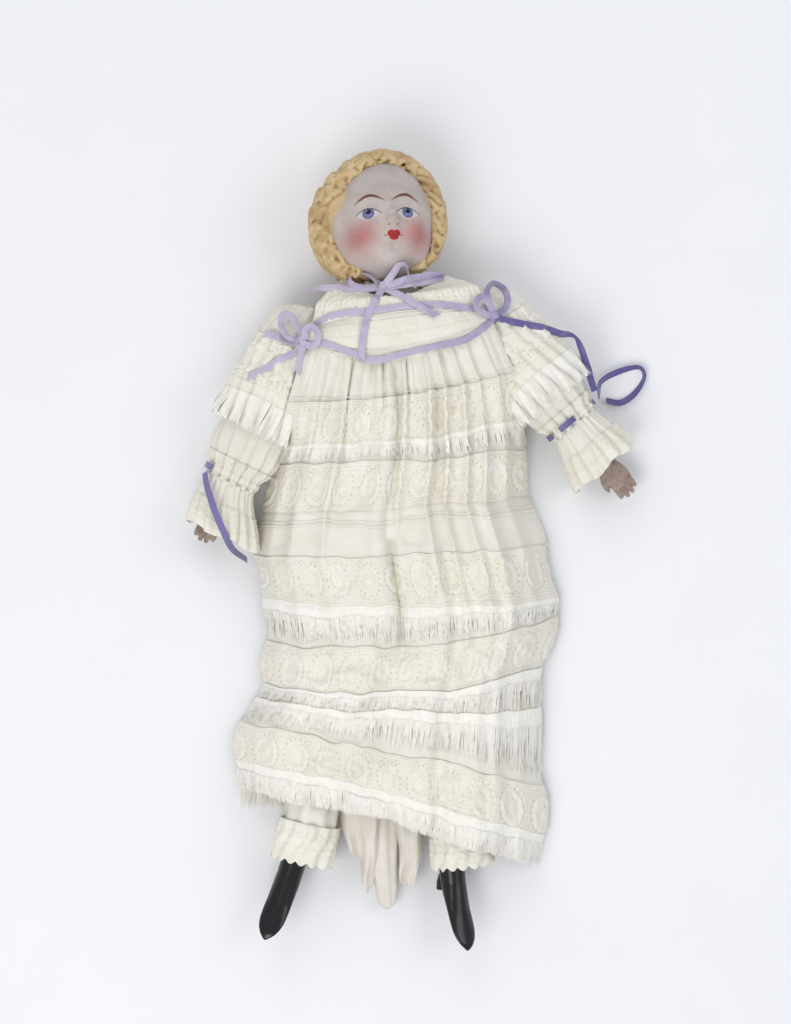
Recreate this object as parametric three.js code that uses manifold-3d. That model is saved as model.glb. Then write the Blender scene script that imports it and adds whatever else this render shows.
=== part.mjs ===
// An antique cloth-bodied doll with a bisque shoulder head, bisque forearms and glazed china boots,
// lying on its back in a lace-trimmed gown. Millimetres, +Z up from the floor, +Y towards the crown,
// +X towards the doll's own left hand. The group is moved so that its box, without the two loose tails of
// the wrist ribbons, stands centred on the origin.
import * as THREE from "three";
import { mergeVertices } from "three/addons/utils/BufferGeometryUtils.js";
import Module from "manifold-3d";

const wasm = await Module();
wasm.setup();

// ---- driving dimensions ----
const GAP = 0.5; // clearance between touching pieces
const SEAM_GAP = 1.6; // room for a limb's lower half to sit at a slant under its stuffed half
const CLOTH = 1.6; // thickness that stands for a layer of muslin or lace
const TORSO_Z = 25; // height of the torso's middle above the floor
const HIP_Y = -40; // line of the sewn hip seam
const HIP_X = 19; // half the distance between the legs
const SHOULDER = { right: [50, 94], left: [48, 103] }; // the body lies with its right shoulder lower
const ARM_Z = 18;
const LEG_Z = 20;
const SIDES = { right: -1, left: 1 };
const ARM_YAW = { right: 26, left: 40 }; // degrees out from the body
const LEG_YAW = { right: 12, left: 6.5 };
const FOREARM_DIP = 4; // degrees by which the forearm and hand sink towards the floor
const SHIN_DIP = 4;
const HEAD = { x: -7.5, y: 157, z: 37, width: 68, height: 62, depth: 64 };
const HEAD_TURN = { roll: 5, yaw: 8 }; // degrees: crown to the doll's right, face to its left
const WAIST_Y = 20;
const YOKE_HEM_Y = 86;
const SKIRT_TOP_Y = HIP_Y + 24;
const HEM_Y = { right: -158, left: -186 }; // the gown's hem is lower on the doll's left
const TORSO_END_Y = HIP_Y + 16; // the flat lower end of the torso

const RIBBON_WIDTH = 3.6;
const RIBBON_THICK = 1;

// ---- materials ----
function finish(color, roughness, metalness = 0) {
  return new THREE.MeshStandardMaterial({ color, roughness, metalness });
}
const BISQUE = finish(0xd9cdc9, 0.55);
const CHINA = finish(0x16151a, 0.08);
const MUSLIN = finish(0xe6dfd2, 0.9);
const GOWN = finish(0xf1ece0, 0.85);
const LACE = finish(0xf4f0e6, 0.9);
const SATIN = finish(0xa79bd0, 0.35);
const SAWDUST = finish(0xb89468, 1.0);
const THREAD = finish(0xcfc4ae, 0.9);

// ---- geometry helpers ----
const radians = THREE.MathUtils.degToRad;
const v = (x, y, z) => new THREE.Vector3(x, y, z);

// A closed geometry from shared points and faces, turned to face outwards.
function closed(points, faces) {
  const volume = faces.reduce(
    (sum, [a, b, c]) => sum + points[a].dot(points[b].clone().cross(points[c])),
    0,
  );
  const ordered = volume < 0 ? faces.map(([a, b, c]) => [a, c, b]) : faces;
  const geometry = new THREE.BufferGeometry().setFromPoints(points);
  geometry.setIndex(ordered.flat());
  geometry.computeVertexNormals();
  return geometry;
}

// A solid through rings of points, with a flat fan at each end.
function loft(rings) {
  const count = rings[0].length;
  const points = rings.flat();
  const faces = [];
  for (let r = 0; r + 1 < rings.length; r++)
    for (let i = 0; i < count; i++) {
      const [a, b] = [r * count + i, r * count + ((i + 1) % count)];
      faces.push([a, b, b + count], [a, b + count, a + count]);
    }
  for (const [ring, first, flip] of [[rings[0], 0, true], [rings.at(-1), points.length - count, false]]) {
    const middle = ring.reduce((sum, p) => sum.add(p), v(0, 0, 0)).divideScalar(count);
    points.push(middle);
    for (let i = 0; i < count; i++) {
      const [a, b] = [first + i, first + ((i + 1) % count)];
      faces.push(flip ? [b, a, points.length - 1] : [a, b, points.length - 1]);
    }
  }
  return closed(points, faces);
}

// An ellipse round the Y axis, as a ring for loft.
function ellipse(y, halfX, halfZ, count = 20, x = 0, z = 0) {
  return Array.from({ length: count }, (_, i) => {
    const angle = (2 * Math.PI * i) / count;
    return v(x + halfX * Math.cos(angle), y, z + halfZ * Math.sin(angle));
  });
}

// A solid sheet of cloth: surface(u, v) gives its upper face, and under(u, v) its lower face.
function sheet(surface, under, across, along) {
  const points = [];
  for (const face of [surface, under])
    for (let j = 0; j <= along; j++)
      for (let i = 0; i <= across; i++) points.push(face(i / across, j / along));
  const row = across + 1;
  const layer = row * (along + 1);
  const faces = [];
  const quad = (a, b, c, d) => faces.push([a, b, c], [a, c, d]);
  for (let j = 0; j < along; j++)
    for (let i = 0; i < across; i++) {
      const a = j * row + i;
      quad(a, a + row, a + row + 1, a + 1);
      quad(layer + a, layer + a + 1, layer + a + row + 1, layer + a + row);
    }
  for (let i = 0; i < across; i++) {
    quad(i, i + 1, layer + i + 1, layer + i);
    const a = along * row + i;
    quad(a + 1, a, layer + a, layer + a + 1);
  }
  for (let j = 0; j < along; j++) {
    const a = j * row;
    quad(a + row, a, layer + a, layer + a + row);
    const b = a + across;
    quad(b, b + row, layer + b + row, layer + b);
  }
  return closed(points, faces);
}

// The same sheet with its lower face straight below by a constant thickness.
function cloth(surface, across, along, thick = CLOTH) {
  return sheet(surface, (s, t) => surface(s, t).sub(v(0, 0, thick)), across, along);
}

// A hollow tube round the Y axis from [y, outer, inner] stations, squashed to an ellipse by flat.
function tube(stations, flat = 1, count = 16) {
  const outer = stations.map(([y, r]) => new THREE.Vector2(r, y));
  const inner = stations.map(([y, , r]) => new THREE.Vector2(r, y)).reverse();
  const profile = [...outer, ...inner, outer[0].clone()];
  return outward(new THREE.LatheGeometry(profile, count).scale(1, 1, flat));
}

// A ribbon: a flat section that follows a curve.
function ribbon(points, steps = 20, width = RIBBON_WIDTH, thick = RIBBON_THICK) {
  const curve = new THREE.CatmullRomCurve3(points);
  const [t, w] = [thick / 2, width / 2];
  const section = new THREE.Shape([[-t, -w], [t, -w], [t, w], [-t, w]].map((p) => new THREE.Vector2(...p)));
  return outward(new THREE.ExtrudeGeometry(section, { steps, extrudePath: curve, bevelEnabled: false }));
}

// ---- solids ----
function merged(geometry) {
  const bare = geometry.clone();
  bare.deleteAttribute("normal");
  bare.deleteAttribute("uv");
  return mergeVertices(bare, 1e-3);
}
function signedVolume(geometry) {
  const place = geometry.getAttribute("position");
  const corner = (i) => new THREE.Vector3().fromBufferAttribute(place, geometry.index.getX(i));
  let volume = 0;
  for (let i = 0; i < geometry.index.count; i += 3)
    volume += corner(i).dot(corner(i + 1).cross(corner(i + 2)));
  return volume;
}
// The geometry with its faces turned out if they point in.
function outward(geometry) {
  const made = merged(geometry);
  if (signedVolume(made) < 0) {
    const order = made.index.array;
    for (let i = 0; i < order.length; i += 3) [order[i + 1], order[i + 2]] = [order[i + 2], order[i + 1]];
  }
  made.computeVertexNormals();
  return made;
}
function solid(geometry) {
  const made = merged(geometry);
  return new wasm.Manifold(
    new wasm.Mesh({
      numProp: 3,
      vertProperties: new Float32Array(made.getAttribute("position").array),
      triVerts: new Uint32Array(made.index.array),
    }),
  );
}
function geometryOf(manifold) {
  const mesh = manifold.getMesh();
  const geometry = new THREE.BufferGeometry();
  geometry.setAttribute("position", new THREE.BufferAttribute(mesh.vertProperties, 3));
  geometry.setIndex(new THREE.BufferAttribute(mesh.triVerts, 1));
  geometry.computeVertexNormals();
  return geometry;
}
// Solids joined into one body; a sliver that two crossing ribbons cut off is dropped.
function joined(geometries) {
  const all = geometries.map(solid).reduce((sum, next) => sum.add(next));
  return all.decompose().sort((a, b) => b.volume() - a.volume())[0];
}
function ball(x, y, z, rx, ry = rx, rz = rx, detail = 16) {
  return new THREE.SphereGeometry(1, detail, Math.round(detail * 0.7)).scale(rx, ry, rz).translate(x, y, z);
}

const doll = new THREE.Group();
function add(parent, name, geometry, material) {
  const mesh = new THREE.Mesh(geometry, material);
  mesh.name = name;
  parent.add(mesh);
  return mesh;
}

// ---- the shoulder head: one bisque casting, hollow, open under the shoulder plate ----
const PLATE = { y: 88, halfX: 33, halfY: 25, halfZ: 20.5, wall: 3, rim: 80 };
const NECK_RADIUS = 13;
function headCasting() {
  const turn = new THREE.Matrix4().makeRotationFromEuler(
    new THREE.Euler(0, radians(HEAD_TURN.yaw), radians(HEAD_TURN.roll)),
  );
  const place = new THREE.Matrix4().makeTranslation(HEAD.x, HEAD.y, HEAD.z).multiply(turn);
  const [w, h, d] = [HEAD.width / 2, HEAD.height / 2, HEAD.depth / 2];
  const face = [
    ball(0, 0, 0, w - 4, h, d, 16), // skull
    ball(0, -8, 6, w - 8, h - 8, d - 6, 14), // jaw and cheeks
    ball(3, -24, 20, 10, 8, 9, 10), // chin
    ball(3, -7, 31, 3.2, 5, 4, 8), // nose
  ];
  const curls = [];
  const rows = [ // [angle back from the face, curls in the row, curl radius]
    [78, 10, 9], [110, 9, 9.5], [146, 6, 10],
  ];
  for (const [back, count, size] of rows)
    for (let i = 0; i < count; i++) {
      const round = radians(-38 + (256 * (i + (back % 4 ? 0.5 : 0))) / count);
      const [s, c] = [Math.sin(radians(back)), Math.cos(radians(back))];
      const [x, y, z] = [(w - 4) * s * Math.cos(round), (h - 3) * s * Math.sin(round), (d - 5) * c];
      curls.push(ball(x, y, z, size, size, size, 6));
    }
  const head = joined([...face, ...curls].map((g) => g.applyMatrix4(place)));
  const neck = solid(loft([
    ellipse(PLATE.y + 14, 19, 15, 20, 0, TORSO_Z + 1),
    ellipse(PLATE.y + 24, NECK_RADIUS + 1, NECK_RADIUS, 20, -1, TORSO_Z + 3),
    ellipse(PLATE.y + 36, NECK_RADIUS, NECK_RADIUS, 20, -2, TORSO_Z + 6),
    ellipse(HEAD.y - 12, NECK_RADIUS + 3, NECK_RADIUS + 2, 20, -3, TORSO_Z + 9),
  ]));
  const dome = solid(ball(0, PLATE.y, TORSO_Z, PLATE.halfX, PLATE.halfY, PLATE.halfZ, 20));
  const hollowDome = solid(
    ball(0, PLATE.y, TORSO_Z, ...[PLATE.halfX, PLATE.halfY, PLATE.halfZ].map((half) => half - PLATE.wall), 16),
  );
  const below = solid(new THREE.BoxGeometry(200, 200, 200).translate(0, PLATE.rim - 100, TORSO_Z));
  const hollowNeck = solid(loft([
    ellipse(PLATE.y, 9, 9, 16, 0, TORSO_Z),
    ellipse(PLATE.y + 34, 8, 8, 16, -2, TORSO_Z + 6),
    ellipse(HEAD.y - 8, 9, 9, 16, -3, TORSO_Z + 9),
  ]));
  const hollowHead = solid(ball(0, 0, 0, w - 9, h - 6, d - 7, 14).applyMatrix4(place));
  const floor = solid(new THREE.BoxGeometry(300, 300, 60).translate(0, HEAD.y, -30));
  const shaped = head.add(neck).add(dome).subtract(below.add(hollowDome).add(hollowNeck).add(hollowHead));
  return geometryOf(sewHoles().reduce((left, hole) => left.subtract(hole.bore), shaped.subtract(floor)));
}

// The four sew holes of the plate, and the stitch that passes through each into the body.
function sewHoles() {
  const found = [];
  for (const [face, sign] of [["front", 1], ["back", -1]])
    for (const [side, out] of Object.entries(SIDES)) {
      const x = out * 17;
      const y = PLATE.rim + 6;
      const upright = (radius, length, sides, z) =>
        new THREE.CylinderGeometry(radius, radius, length, sides).rotateX(Math.PI / 2).translate(x, y, z);
      const bore = solid(upright(1.4, 30, 10, TORSO_Z + sign * 15));
      const stitch = upright(0.7, 3.4, 8, TORSO_Z + sign * (PLATE.halfZ - 2.6));
      found.push({ name: `plate_stitch_${face}_${side}`, bore, stitch });
    }
  return found;
}
add(doll, "shoulder_head", headCasting(), BISQUE);
for (const { name, stitch } of sewHoles()) add(doll, name, stitch, THREAD);

// ---- the cloth torso: a sewn bag and its sawdust ----
const TORSO = [ // [y, half width, half depth]
  [TORSO_END_Y, 33, 16],
  [TORSO_END_Y + 6, 35.5, 19],
  [0, 34, 19.5],
  [WAIST_Y, 28, 18.5],
  [50, 28.5, 19],
  [78, 27, 15.8],
];
const TORSO_TOP = [[90, 26, 14], [101, 19, 10], [106, 10, 6]]; // inside the shoulder plate
function torsoRings(shrink) {
  return [...TORSO, ...TORSO_TOP].map(([y, x, z], i, all) => {
    const inwards = i === 0 ? shrink : i === all.length - 1 ? -shrink : 0;
    return ellipse(y + inwards, Math.max(2, x * 0.93 - shrink), z * 0.92 - shrink, 18, 0, TORSO_Z);
  });
}
const COVER = 1.2;
const fillHole = solid(new THREE.CylinderGeometry(5, 5, 12, 16).translate(0, 105, TORSO_Z));
const bag = solid(loft(torsoRings(0))).subtract(solid(loft(torsoRings(COVER)))).subtract(fillHole);
add(doll, "torso_cover", geometryOf(bag), MUSLIN);
add(doll, "torso_stuffing", loft(torsoRings(COVER + GAP)), SAWDUST);

// ---- the limbs: each is a group of its own, with its sewn seam at the origin and -Y along the limb ----
function limb(side, x, y, z, yaw) {
  const group = new THREE.Group();
  group.position.set(SIDES[side] * x, y, z);
  group.rotation.z = radians(SIDES[side] * yaw);
  doll.add(group);
  return group;
}
// A stuffed cloth limb from its rounded end at the seam to where it is bound to the china.
function stuffedLimb(radius, length, end, count = 14) {
  const rings = [];
  for (const angle of [8, 30, 60]) {
    const at = radius * Math.sin(radians(angle));
    rings.push(ellipse(radius * Math.cos(radians(angle)), at, at, count));
  }
  rings.push(ellipse(0, radius, radius, count));
  rings.push(ellipse(-length * 0.55, radius, radius, count));
  rings.push(ellipse(-length, end, end, count));
  return loft(rings);
}
// Turns of thread bound round a limb.
function binding(y, inner, height = 3, thick = 1.2) {
  const turns = 2;
  const [low, high, dip] = [y - height / 2, y + height / 2, inner + thick * 0.6];
  const profile = [[inner, low]];
  for (let i = 0; i < turns; i++) {
    const start = low + (i * height) / turns;
    profile.push([dip, start], [inner + thick, start + height / turns / 2]);
  }
  profile.push([dip, high], [inner, high], [inner, low]);
  return outward(new THREE.LatheGeometry(profile.map((p) => new THREE.Vector2(...p)), 12));
}

const UPPER_ARM = { radius: 9.5, length: 56, end: 6.5 };
const FOREARM_TOP = UPPER_ARM.length + SEAM_GAP;
const SLEEVE_END = { right: 88, left: 75 }; // the left sleeve has crept up the arm
// A finger as a short bent row of rings from its root.
function finger(x, y, z, length, size, spread, curl) {
  const steps = 2;
  const rings = [];
  let at = v(x, y, z);
  for (let i = 0; i <= steps; i++) {
    const taper = size * (i === steps ? 0.45 : 1 - 0.1 * i);
    rings.push(ellipse(at.y, taper, taper, 6, at.x, at.z));
    const bend = radians(curl * i);
    at = at.clone().add(v(spread, -Math.cos(bend), -Math.sin(bend)).multiplyScalar(length / steps));
  }
  return loft(rings);
}
function forearm(out) {
  const stations = [ // [y, half width, half thickness]
    [0, 6.2, 6.2], [-3, 6.6, 6.6], [-4.5, 5.4, 5.4], [-8, 5.4, 5.4], [-9.5, 6.4, 6.4], [-22, 6.6, 6.2],
    [-36, 4.8, 4.4], [-42, 4.7, 3.6], [-50, 6.8, 3.5], [-56, 6.6, 3], [-58, 5, 2.2],
  ];
  const shaft = loft(stations.map(([y, x, z]) => ellipse(y, x, z, 12)));
  const fingers = [-4.6, -1.6, 1.4, 4.2].map((x, i) =>
    finger(x, -54.5, 0, [8, 10.5, 10, 8][i], 1.55, x * 0.03, 11));
  const thumb = finger(-out * 5.4, -47, 1, 9.5, 1.8, -out * 0.35, 8);
  return geometryOf(joined([shaft, ...fingers, thumb]));
}
const sleeve = (end) => [ // [y, outer radius, inner radius], measured from the shoulder seam
  [13, 12, 10.6], [6, 17, 12], [-12, 19.5, 14], [-40, 20.5, 16],
  [18 - end, 19, 14], [6 - end, 14.5, 11.5], [-end, 13, 10.6],
];
const SLEEVE_FLAT = 0.84; // a sleeve that lies on the floor is flatter than it is wide
const frill = (end) => [[-end - GAP, 13, 10.8], [-end - 8, 17, 13], [-end - 20, 20, 17.5], [-end - 27, 21, 19]];
// From the ribbon threaded round the sleeve, a tail or a loop lies beside the wrist: points from its end.
const WRIST_TAILS = {
  right: [[-14, 0, 10], [-10.5, -5, 13], [-5.6, -10, 17], [1, -16.5, 19.5], [8.5, -23, 19], [17, -30, 12], [26, -32.5, -4]],
  left: [[19, 4, 2], [26, 9.5, -6], [36.5, 8, -13], [47.5, 2.5, -15.6], [46.5, -3.5, -15.6], [37, -7, -15.6],
    [28, -6, -15.6], [22.5, 0, -14]],
};
for (const side of ["right", "left"]) {
  const out = SIDES[side];
  const end = SLEEVE_END[side];
  const arm = limb(side, ...SHOULDER[side], ARM_Z, ARM_YAW[side]);
  add(arm, `upper_arm_${side}`, stuffedLimb(UPPER_ARM.radius, UPPER_ARM.length, UPPER_ARM.end), MUSLIN);
  const lower = new THREE.Group();
  lower.position.y = -FOREARM_TOP;
  lower.rotation.x = radians(FOREARM_DIP);
  arm.add(lower);
  add(lower, `forearm_${side}`, forearm(out), BISQUE);
  add(lower, `arm_binding_${side}`, binding(-6.2, 5.9), THREAD);
  add(arm, `sleeve_${side}`, tube(sleeve(end), SLEEVE_FLAT), GOWN);
  add(arm, `sleeve_frill_${side}`, tube(frill(end), SLEEVE_FLAT), GOWN);
  add(arm, `wrist_ribbon_${side}`, tube([[6 - end, 16.6, 15.6], [2.4 - end, 15.6, 14.6]], 0.86), SATIN);
  const reach = (s, t) => {
    const y = 2 - 58 * t;
    const radius = 22.4 + 3 * t;
    const angle = radians(-50 + 100 * s);
    return v(radius * Math.sin(angle) * 1.06, y, radius * Math.cos(angle) * SLEEVE_FLAT + 1);
  };
  add(arm, `shoulder_ruffle_${side}`, cloth(reach, 8, 3), LACE);
  add(arm, `wrist_tail_${side}`, ribbon(WRIST_TAILS[side].map(([x, y, z]) => v(x, y - end, z)), 24), SATIN);
}

const THIGH = { radius: 12, length: 92, end: 8.5 };
const SHIN_TOP = THIGH.length + SEAM_GAP;
// A ring of the shin or foot, turned by lean degrees towards the front of the leg.
function footRing(y, z, halfX, halfZ, lean, count = 14) {
  return ellipse(0, halfX, halfZ, count).map((p) => p.applyAxisAngle(v(1, 0, 0), radians(lean)).add(v(0, y, z)));
}
function chinaLeg() {
  const stations = [ // [y, z, half width, half depth, lean in degrees]
    [0, 0, 8, 8, 0], [-3, 0, 8.4, 8.4, 0], [-4.6, 0, 7, 7, 0], [-8.4, 0, 7, 7, 0], [-10, 0, 8.4, 8.4, 0],
    [-28, 0, 8.8, 8.6, 0], [-46, 0, 6.9, 7, 0], [-60, 0, 6.1, 6.6, 4], [-69, 1, 6.2, 7.4, 14],
    [-77, 3.2, 6.5, 7.2, 24], [-86, 6.6, 6.6, 5.6, 30], [-94, 10.2, 5.9, 4.3, 34],
    [-99.5, 12.8, 4.3, 3.1, 38], [-101.5, 13.8, 2.2, 1.6, 38],
  ];
  const shin = stations.map((station) => footRing(...station));
  const heel = loft([[-66, -5.4], [-70, -7.6], [-75, -8.6]].map(([y, z], i) =>
    footRing(y, z, [4.6, 4.2, 3.6][i], [3.2, 3, 2.8][i], 55, 12)));
  return geometryOf(joined([loft(shin), heel]));
}
const LEG_ROLL = { right: -14, left: 34 }; // degrees by which each foot lies over to the side
for (const side of ["right", "left"]) {
  const leg = limb(side, HIP_X, HIP_Y, LEG_Z, LEG_YAW[side]);
  add(leg, `thigh_${side}`, stuffedLimb(THIGH.radius, THIGH.length, THIGH.end), MUSLIN);
  const lower = new THREE.Group();
  lower.position.y = -SHIN_TOP;
  lower.rotation.set(radians(SHIN_DIP), radians(LEG_ROLL[side]), 0);
  leg.add(lower);
  add(lower, `lower_leg_${side}`, chinaLeg(), CHINA);
  add(lower, `leg_binding_${side}`, binding(-6.5, 7.5), THREAD);
  const drawers = [[-6, 14, 12.6], [-50, 14.4, 12.8], [-100, 14.6, 12.4], [-128, 14.2, 12.4]];
  add(leg, `drawers_leg_${side}`, tube(drawers, 0.97), GOWN);
  const lace = [[-128.6, 14.2, 12.4], [-134, 14.6, 13.2], [-148, 15, 13.8]];
  add(leg, `drawers_lace_${side}`, tube(lace, 0.97), LACE);
}

// ---- the gown and the underclothes ----
const BACK_THICK = 1.6;
const blend = THREE.MathUtils.lerp;
// Half width of the gown on each side at a height on the doll, and how high its front stands.
const GOWN_EDGES = [ // [y, right edge, left edge, crown height, edge height]
  [YOKE_HEM_Y, -38, 38, 50.5, 44],
  [60, -40, 42, 50.5, 43],
  [44, -48, 52, 50.5, 36],
  [30, -57, 62, 50.5, 12],
  [10, -66, 68, 50.5, 5.5],
  [SKIRT_TOP_Y, -72, 74, 49.5, 4.6],
];
const SKIRT_EDGES = [
  [SKIRT_TOP_Y - GAP, -72, 74, 49.5, 4.6],
  [-48, -72, 86, 48.5, 4.6],
  [-75, -68, 88, 47.5, 4.6],
  [-105, -68, 82, 46.5, 4.6],
  [-135, -80, 80, 43.5, 4.6],
  [-150, -80, 79, 42, 4.6],
];
function edgesAt(table, y) {
  const next = Math.max(1, table.findIndex((row) => row[0] <= y));
  const [above, below] = [table[next - 1], table[next]];
  const t = THREE.MathUtils.clamp((above[0] - y) / (above[0] - below[0]), 0, 1);
  return above.map((value, i) => blend(value, below[i], t));
}
function archedFront(table, top, bottom) {
  return (s, t) => {
    const y = blend(top, bottom(s), t);
    const [, right, left, crown, edge] = edgesAt(table, Math.max(y, table.at(-1)[0]));
    const across = 2 * s - 1;
    const side = Math.abs(across) ** 5;
    return v(blend(right, left, s), y, blend(crown, edge, side));
  };
}
const slantedHem = (rise) => (s) => blend(HEM_Y.right, HEM_Y.left, THREE.MathUtils.smoothstep(s, 0.1, 0.95)) + rise;
const FRINGE_LENGTH = 16;
const skirtFront = archedFront(SKIRT_EDGES, SKIRT_TOP_Y - GAP, slantedHem(FRINGE_LENGTH + GAP));
add(doll, "bodice_front", cloth(archedFront(GOWN_EDGES, YOKE_HEM_Y, () => SKIRT_TOP_Y), 14, 6), GOWN);
add(doll, "skirt_front", cloth(skirtFront, 14, 7), GOWN);

// The fringed hem carries on from the skirt's lower edge.
add(doll, "hem_fringe_front", cloth((s, t) => {
  const edge = skirtFront(s, 1);
  return v(edge.x * (1 + 0.03 * t), edge.y - GAP - FRINGE_LENGTH * t, edge.z - 2 * t);
}, 14, 1), LACE);

// Flat panels that lie on the floor, from rows of [y, right edge, left edge].
function flatPanel(rows, low, thick = BACK_THICK) {
  const surface = (s, t) => {
    const at = t * (rows.length - 1);
    const k = Math.min(rows.length - 2, Math.floor(at));
    const [a, b] = [rows[k], rows[k + 1]];
    const share = at - k;
    return v(blend(blend(a[1], b[1], share), blend(a[2], b[2], share), s), blend(a[0], b[0], share), low + thick);
  };
  return cloth(surface, 1, rows.length - 1, thick);
}
const PANELS = { // rows of [y, right edge, left edge]
  yoke_back: [[115, -18, 18], [108, -26, 26], [YOKE_HEM_Y, -33, 33]],
  bodice_back: [[YOKE_HEM_Y - GAP, -33, 33], [58, -36, 38], [30, -54, 60], [8, -64, 66], [SKIRT_TOP_Y, -70, 72]],
  skirt_back: [
    [SKIRT_TOP_Y - GAP, -70, 72], [-48, -70, 84], [-75, -66, 86], [-105, -66, 80], [-135, -78, 78], [-150, -78, 77],
  ],
  hem_fringe_back: [[-150 - GAP, -77, 76], [-166, -77, 76]],
};
for (const [name, rows] of Object.entries(PANELS))
  add(doll, name, flatPanel(rows, 0), name === "hem_fringe_back" ? LACE : GOWN);

// The yoke lies over the shoulder plate, from the neck to the gathered seam.
function yokeFront(s, t) {
  const y = blend(113 - 16 * Math.abs(2 * s - 1) ** 2, YOKE_HEM_Y + GAP, t);
  const x = blend(-34, 34, s) * (0.85 + 0.15 * t);
  const fall = Math.hypot(x / 34, Math.max(0, y - 92) / 34);
  return v(x, y, blend(51.5, 39, Math.min(1, fall ** 2.6)));
}
add(doll, "yoke_front", cloth(yokeFront, 10, 4), LACE);
const collar = tube([[0, 17.2, 15.8], [4, 17.6, 15.9], [8, 19, 17.4]]);
add(doll, "neck_frill", collar.rotateX(radians(-4)).translate(-1.5, PLATE.y + 25.5, TORSO_Z + 4.2), LACE);

// The petticoat hangs from the waist, and its folds show below the hem between the legs.
function petticoatFront(s, t) {
  const y = blend(SKIRT_TOP_Y - 2, slantedHem(FRINGE_LENGTH + 2)(s), t);
  const half = blend(50, 62, t);
  const side = Math.abs(2 * s - 1) ** 6;
  return v(blend(2, -4, t) + blend(-half, half, s), y, blend(45 - 6 * t, 8, side));
}
add(doll, "petticoat_front", cloth(petticoatFront, 14, 4, 1.2), MUSLIN);
const petticoatRows = [[SKIRT_TOP_Y - 2, -52, 56], [-100, -56, 60], [-149, -58, 62]];
add(doll, "petticoat_back", flatPanel(petticoatRows, BACK_THICK + 0.4, 1.2), MUSLIN);
const foldEnd = loft([ // [y, half width, half height, x, z]
  [-168, 9, 9, 1, 16], [-180, 9, 8.5, 0, 14], [-196, 7.4, 6.4, -1, 10], [-208, 5.2, 4.4, -1.5, 7], [-215, 2, 2, -2, 5],
].map(([y, halfX, halfZ, x, z]) => ellipse(y, halfX, halfZ, 12, x, z)));
add(doll, "chemise_tail", foldEnd, MUSLIN);

// The drawers are held at the waist by a band.
function waistRings(stations) {
  return solid(loft(stations.map(([y, x, z]) => ellipse(y, x, z, 20, 0, TORSO_Z))));
}
const waistband = waistRings([[-14, 36, 20], [8, 34.4, 20.4], [WAIST_Y, 31, 19.4]]);
const waistHollow = waistRings([[-15, 34.6, 19], [8, 33, 19.3], [WAIST_Y + 1, 28.8, 18.2]]);
add(doll, "drawers_waist", geometryOf(waistband.subtract(waistHollow)), GOWN);

// ---- the ribbons of the yoke and the bows ----
const YOKE_RIBBONS = {
  upper: [[-35, 97, 47], [-20, 107, 52.2], [-4, 110, 53], [12, 108, 52.8], [35, 99, 48]],
  lower: [[-36, 90, 48.5], [-22, 86.5, 52.6], [-10, 85, 53.6], [10, 87, 53.6], [24, 91, 52.8], [36, 96, 48.5]],
};
for (const [level, points] of Object.entries(YOKE_RIBBONS))
  add(doll, `yoke_ribbon_${level}`, ribbon(points.map((p) => v(...p)), 16), SATIN);

// A bow: a knot with two loops and two tails, all of ribbon. Loops and tails are lists of points from the knot.
function bow(place, strands, knot = 2.4) {
  const knotBall = ball(0, 0, 0, knot, knot, knot * 0.8, 7);
  const parts = strands.map((points) => ribbon(points.map((p) => v(...p)), 7));
  return geometryOf(joined([knotBall, ...parts])).translate(...place);
}
const loop = (x, y, z = 3) => [
  [0, 0, 0], [x * 0.5 - y * 0.22, y * 0.5 + x * 0.22, z], [x, y, z * 0.8],
  [x * 0.55 + y * 0.2, y * 0.55 - x * 0.2, 0.6], [0.4, 0.2, 0],
];
const NECK_BOW = [-4, 115, 60];
const SHOULDER_BOW = { right: [-40, 96, 54.5], left: [42, 103, 54.5] };
add(doll, "neck_bow", bow(NECK_BOW, [
  loop(-15, 4), loop(6, 10, 6), [[0, 0, 0], [10, 3, 1], [26, 7, 0.5]],
  [[0, 0, 0], [-5, -9, 0.5], [-8, -22, -2.6]], [[0, 0, 0], [9, -5, 1.5], [22, -13, -1.5]],
]), SATIN);
add(doll, "shoulder_bow_right", bow(SHOULDER_BOW.right, [
  loop(-6, 11), loop(6, 3), [[0, 0, 0], [-10, 4, 1.5], [-19, 7, 1]],
  [[0, 0, 0], [-11, -8, 1.5], [-24, -19, -1]], [[0, 0, 0], [-2, -8, 1.5], [-4, -19, 1]],
]), SATIN);
add(doll, "shoulder_bow_left", bow(SHOULDER_BOW.left, [
  loop(4, 12), loop(-9, 5), [[0, 0, 0], [12, -2, 1.5], [26, -7, -0.5], [41, -12, -6]],
]), SATIN);

// ---- stand the group centred on its own box, the loose ribbon tails left out of it ----
doll.updateMatrixWorld(true);
const box = new THREE.Box3();
doll.traverse((node) => {
  if (node.isMesh && !node.name.startsWith("wrist_tail")) box.expandByObject(node, true);
});
const centre = box.getCenter(new THREE.Vector3());
doll.position.set(-centre.x, -centre.y, -box.min.z);

export default doll;
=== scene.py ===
import math

import bmesh
import bpy
import numpy as np
from mathutils import Euler, Matrix, Vector


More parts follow.
